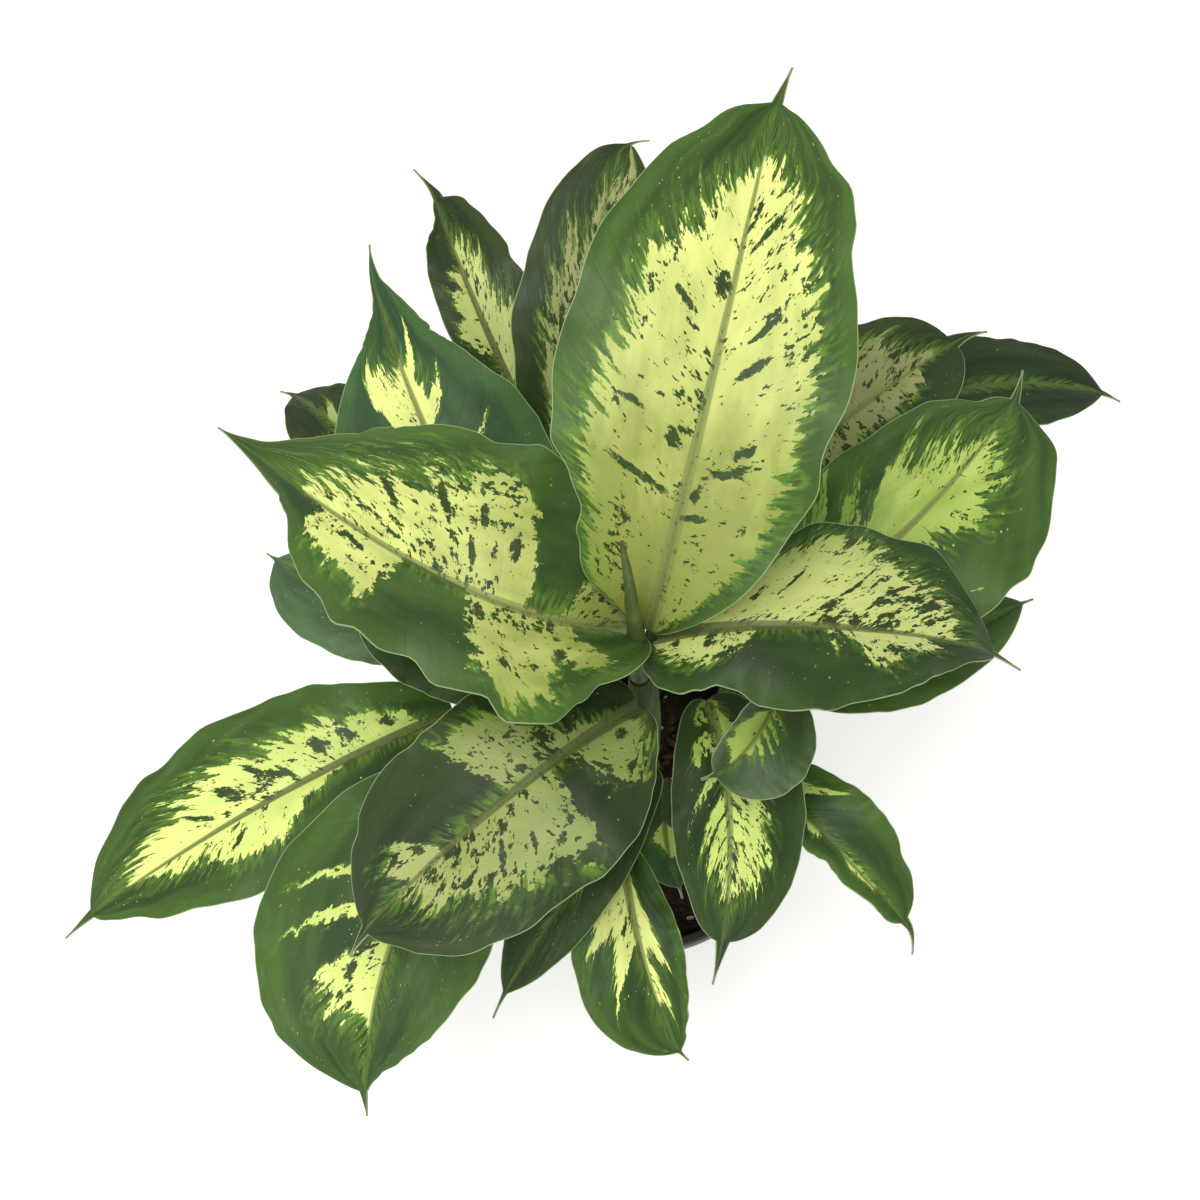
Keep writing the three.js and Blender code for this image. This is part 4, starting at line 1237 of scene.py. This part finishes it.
@cache
def pot_finish():
    """Black moulded plastic, faintly grained, with patches of soil dust."""
    made = Finish("pot plastic")
    place = made.place()
    dust = made.grain(place, 45, 4, 0.6)
    grain = made.grain(place, 1400, 2)
    scuffs = made.grain(place, 130, 3)
    colour = made.blend(dust.over(0.5, 0.25) * 0.5, *POT_BLACKS)
    return made.dress(
        Base_Color=colour,
        Roughness=0.36 + scuffs * 0.28,
        Normal=made.relief(grain, 0.08, 0.5),
    )


def wall_radius(height):
    return POT_FOOT_RADIUS + (POT_TOP_RADIUS - POT_FOOT_RADIUS) * height / POT_HEIGHT


def draw_up(name, profile, sides):
    """A disc drawn up ring by ring: each (radius, height) of the profile is one extrusion."""
    start_piece()
    radius, height = profile[0]
    bpy.ops.mesh.primitive_circle_add(
        vertices=sides, radius=radius * MM, fill_type="NGON", location=(0, 0, height * MM)
    )
    piece = bpy.context.active_object
    piece.name = name
    bpy.ops.object.transform_apply(location=True, rotation=True, scale=True)
    with editing(piece):
        for next_radius, next_height in profile[1:]:
            rise = (0, 0, (next_height - height) * MM)
            bpy.ops.mesh.extrude_region_move(TRANSFORM_OT_translate={"value": rise})
            scale = next_radius / radius
            bpy.ops.transform.resize(value=(scale, scale, 1))
            radius, height = next_radius, next_height
    return piece


def close_open_ends(piece):
    """Fills the rings of edges that only one face touches."""
    with editing(piece, "DESELECT"):
        bpy.ops.mesh.select_mode(type="EDGE")
        bpy.ops.mesh.select_non_manifold(extend=False)
        if any(edge.select for edge in piece.data.edges):
            bpy.ops.mesh.edge_face_add()
        bpy.ops.mesh.select_mode(type="VERT")


def pot_piece():
    """Drawn up from the foot to the lip and down inside to the floor, which is then pierced."""
    lip_foot = POT_HEIGHT - POT_LIP_DEPTH
    inner_top = wall_radius(POT_HEIGHT) - POT_WALL
    profile = [
        (POT_FOOT_RADIUS - 8, FOOT_RECESS),
        (POT_FOOT_RADIUS - 6, 0),
        (POT_FOOT_RADIUS - 2, 0),
        (POT_FOOT_RADIUS - 0.5, 0.7),
        (wall_radius(2), 2),
        (wall_radius(STEP_HEIGHT), STEP_HEIGHT),
        (wall_radius(STEP_HEIGHT) + STEP_WIDTH, STEP_HEIGHT + 1),
        (wall_radius(40), 40),
        (wall_radius(80), 80),
        (wall_radius(lip_foot - 8), lip_foot - 8),
        (wall_radius(lip_foot - 1), lip_foot - 1),
        (POT_LIP_RADIUS - 1.2, lip_foot),
        (POT_LIP_RADIUS - 0.3, lip_foot + 0.4),
        (POT_LIP_RADIUS, lip_foot + 1.4),
        (POT_LIP_RADIUS, POT_HEIGHT - 2),
        (POT_LIP_RADIUS - 0.5, POT_HEIGHT - 0.7),
        (POT_LIP_RADIUS - 1.4, POT_HEIGHT),
        (inner_top + 0.9, POT_HEIGHT),
        (inner_top, POT_HEIGHT - 0.9),
        (wall_radius(70) - POT_WALL, 70),
        (wall_radius(POT_FLOOR) - POT_WALL - 0.5, POT_FLOOR + 1),
        (wall_radius(POT_FLOOR) - POT_WALL - 2, POT_FLOOR),
    ]
    piece = draw_up("moulded_pot", profile, POT_SIDES)
    close_open_ends(piece)
    mend_seams(piece)
    for hole in range(DRAIN_HOLES):
        angle = 2 * math.pi * (hole + 0.5) / DRAIN_HOLES
        place = (DRAIN_CIRCLE_RADIUS * math.cos(angle), DRAIN_CIRCLE_RADIUS * math.sin(angle), 0)
        cut_round_hole(piece, Vector(place) * MM, DRAIN_HOLE_RADIUS * MM)
    smooth_shading(piece, 35)
    piece.data.materials.clear()
    piece.data.materials.append(pot_finish())
    return show(piece, "pot_plastic", "pot")


def cut_round_hole(piece, place, radius):
    start_piece()
    bpy.ops.mesh.primitive_cylinder_add(
        vertices=CUTTER_SIDES, radius=radius, depth=CUTTER_DEPTH * MM, location=place
    )
    cutter = bpy.context.active_object
    cut = piece.modifiers.new("drain", "BOOLEAN")
    cut.object = cutter
    cut.operation = "DIFFERENCE"
    cut.solver = "EXACT"
    apply_modifiers(piece)
    bpy.data.objects.remove(cutter)


# ---- soil ----

SOIL_RINGS = 74
SOIL_SIDES = 168
SOIL_WALL_RINGS = 6
SOIL_WALL_DROP = 3
SOIL_CLEARANCE = 0.5
SOIL_BOTTOM = POT_FLOOR + 0.3
# Two grades of roughness: pace, layer, octaves.
CRUMBS = (0.22, 3.1, 4)
CLODS = (0.8, 7.7, 2)
CRUMB_HEIGHT = 1.1
CLOD_HEIGHT = 0.5
SOIL_SETTLING = 0.6
LUMP_ROUGHNESS = 0.45
LUMP_GRAIN = 1400
LUMP_LENGTHS = (0.8, 1.5)
LUMP_WIDTHS = (0.5, 0.9)
LUMP_MARGIN = 1.5
MOST_TILT = 0.35


def soil_height(x, y):
    """Broad swells with finer ones across them."""
    broad = math.sin(x * 0.11 + 1.3) * math.cos(y * 0.09 - 0.4)
    crumb = math.sin(x * 0.47 + y * 0.31) * math.cos(y * 0.53 - x * 0.22)
    return SOIL_TOP + SOIL_RELIEF * (0.6 * broad + 0.4 * crumb)


@cache
def soil_finish():
    made = Finish("potting soil")
    place = made.place()
    broad = made.grain(place, 90, 5, 0.65)
    fine = made.grain(place, 700, 4, 0.7)
    colour = made.blend(broad.over(0.4, 0.25), *SOIL_BROWNS)
    colour = made.blend(fine.over(0.56, 0.1) * 0.6, colour, SOIL_CRUMB)
    return made.dress(
        Base_Color=colour,
        Roughness=0.86 + fine * 0.12,
        Normal=made.relief(fine + broad, 1.6, 0.9),
    )


@cache
def bark_finish():
    made = Finish("bark chip")
    place = made.place()
    grain = made.grain(place, 260, 4, 0.65)
    tone = made.grain(place, 30, 1)
    colour = made.blend(tone.over(0.4, 0.2), *BARK_BROWNS)
    colour = made.blend(grain.over(0.5, 0.2) * 0.6, colour, BARK_GRAIN)
    return made.dress(Base_Color=colour, Roughness=0.8 + grain * 0.1, Normal=made.relief(grain, 0.6, 0.7))


@cache
def perlite_finish():
    made = Finish("perlite")
    grain = made.grain(made.place(), 900, 3, 0.6)
    colour = made.blend(grain.over(0.45, 0.2), *PERLITE_WHITES)
    return made.dress(Base_Color=colour, Roughness=0.75 + grain * 0.1, Normal=made.relief(grain, 0.4, 0.6))


def roughness_at(x, y, pace, layer, octaves):
    return noise.fractal(Vector((x * pace, y * pace, layer)), 0.9, 2.1, octaves)


def soil_bed():
    """A disc with a crumbly top that runs down the pot's inner wall to its floor."""

    def place_of(along, across):
        row = round(along * SOIL_RINGS)
        angle = 2 * math.pi * across
        if row == 0:
            return Vector((0, 0, SOIL_BOTTOM)) * MM
        if row <= SOIL_WALL_RINGS:
            rise = SOIL_TOP - SOIL_WALL_DROP - SOIL_BOTTOM
            height = SOIL_BOTTOM + rise * (row - 1) / (SOIL_WALL_RINGS - 1)
            radius = wall_radius(height) - POT_WALL - SOIL_CLEARANCE
            return Vector((radius * math.cos(angle), radius * math.sin(angle), height)) * MM
        share = 1 - (row - SOIL_WALL_RINGS) / (SOIL_RINGS - SOIL_WALL_RINGS)
        x, y = SOIL_RADIUS * share * math.cos(angle), SOIL_RADIUS * share * math.sin(angle)
        crumbs, clods = roughness_at(x, y, *CRUMBS), roughness_at(x, y, *CLODS)
        height = soil_height(x, y) + CRUMB_HEIGHT * crumbs + CLOD_HEIGHT * clods - SOIL_SETTLING
        return Vector((x, y, height)) * MM

    piece = sheet_grid("crumbly_soil", SOIL_RINGS, SOIL_SIDES, place_of)
    mend_seams(piece)
    piece.data.materials.append(soil_finish())
    smooth_shading(piece, 60)
    return show(piece, "potting_soil", "soil")


def free_soil_spot(margin):
    """A random spot of the soil that no cane stands on."""
    while True:
        radius, angle = (SOIL_RADIUS - margin) * math.sqrt(rng.random()), rng.uniform(0, 2 * math.pi)
        spot = Vector((radius * math.cos(angle), radius * math.sin(angle)))
        if all((spot - Vector(spec["foot"])).length > spec["radius"] + margin for spec in CANES.values()):
            return spot


def scatter(name, finish, count, size_range, flatness, lift):
    """One rough lump, copied over the soil at many sizes and turns."""
    start_piece()
    bpy.ops.mesh.primitive_ico_sphere_add(subdivisions=1, radius=MM)
    lump = bpy.context.active_object
    for vertex in lump.data.vertices:
        vertex.co *= 1 + LUMP_ROUGHNESS * noise.noise(vertex.co * LUMP_GRAIN + Vector((count, 0, 0)))
    copies = []
    for _ in range(count):
        size = rng.uniform(*size_range)
        spot = free_soil_spot(size + LUMP_MARGIN)
        height = soil_height(spot.x, spot.y) + lift * size
        stretch = (size * rng.uniform(*LUMP_LENGTHS), size * rng.uniform(*LUMP_WIDTHS), size * flatness)
        turn = Matrix.Rotation(rng.uniform(0, 2 * math.pi), 4, "Z")
        tilt = Matrix.Rotation(rng.uniform(-MOST_TILT, MOST_TILT), 4, "X")
        place = Matrix.Translation(Vector((spot.x, spot.y, height)) * MM)
        copy = lump.copy()
        copy.data = lump.data.copy()
        bpy.context.collection.objects.link(copy)
        copy.data.transform(place @ turn @ tilt @ Matrix.Diagonal((*stretch, 1)))
        copies.append(copy)
    bpy.data.objects.remove(lump)
    piece = join_pieces(name, copies)
    piece.data.materials.append(finish())
    smooth_shading(piece, 30)
    return show(piece, "potting_soil")


# ---- floor, light and camera ----

FLOOR_SIZE = 8
FLOOR_GLOW = 0.42
ROOM_GLOW = 0.58
LIGHT_SIZE = 0.9
LIGHT_AIM = (0, 0, 0.2)
# Places in metres, and powers in watts.
LIGHTS = {"overhead": ((-0.3, -0.1, 1.8), 12), "window": ((-1, -1.2, 1.2), 7)}
CAMERA_PLACE = (-20, -207, 871)
CAMERA_TILT = 23
CAMERA_LENS = 45
CAMERA_SENSOR = 36


def floor():
    start_piece()
    bpy.ops.mesh.primitive_plane_add(size=FLOOR_SIZE)
    plane = bpy.context.active_object
    plane.name = "pale_floor"
    made = Finish("pale floor")
    faint = made.grain(made.place(), 1.5, 2)
    made.dress(
        Base_Color=made.blend(faint, *FLOOR_WHITES),
        Roughness=0.6 + faint * 0.1,
        Emission_Color=FLOOR_WHITES[0],
        Emission_Strength=FLOOR_GLOW,
    )
    plane.data.materials.append(made.material)


def area_light(name, place, power):
    data = bpy.data.lights.new(name, "AREA")
    data.shape = "DISK"
    data.size = LIGHT_SIZE
    data.energy = power
    light = bpy.data.objects.new(name, data)
    light.location = place
    light.rotation_euler = (Vector(LIGHT_AIM) - Vector(place)).to_track_quat("-Z", "Y").to_euler()
    bpy.context.collection.objects.link(light)


def studio():
    floor()
    world = bpy.data.worlds.new("soft white room")
    world.use_nodes = True
    background = world.node_tree.nodes["Background"]
    background.inputs["Color"].default_value = (1, 1, 1, 1)
    background.inputs["Strength"].default_value = ROOM_GLOW
    bpy.context.scene.world = world
    for name, (place, power) in LIGHTS.items():
        area_light(name, place, power)
    bpy.context.scene.view_settings.view_transform = "Standard"


def camera():
    data = bpy.data.cameras.new("photograph")
    data.lens = CAMERA_LENS
    data.sensor_width = CAMERA_SENSOR
    data.clip_start = 0.01
    seen_from = bpy.data.objects.new("photograph", data)
    seen_from.location = Vector(CAMERA_PLACE) * MM
    seen_from.rotation_euler = (math.radians(CAMERA_TILT), 0, 0)
    bpy.context.collection.objects.link(seen_from)
    bpy.context.scene.camera = seen_from


# ---- the plant ----

camera()
studio()
pot_piece()
soil_bed()
scatter("bark_chips", bark_finish, count=260, size_range=(1.6, 4.2), flatness=0.35, lift=0.1)
scatter("perlite", perlite_finish, count=70, size_range=(0.8, 1.9), flatness=0.8, lift=0.2)
for seed, (name, spec) in enumerate(CANES.items()):
    cane_piece(name, spec, seed * CANES_APART)
new_leaf_piece()
for seed, (name, leaf) in enumerate(LEAVES.items(), start=1):
    leaf_piece(name, leaf, seed)
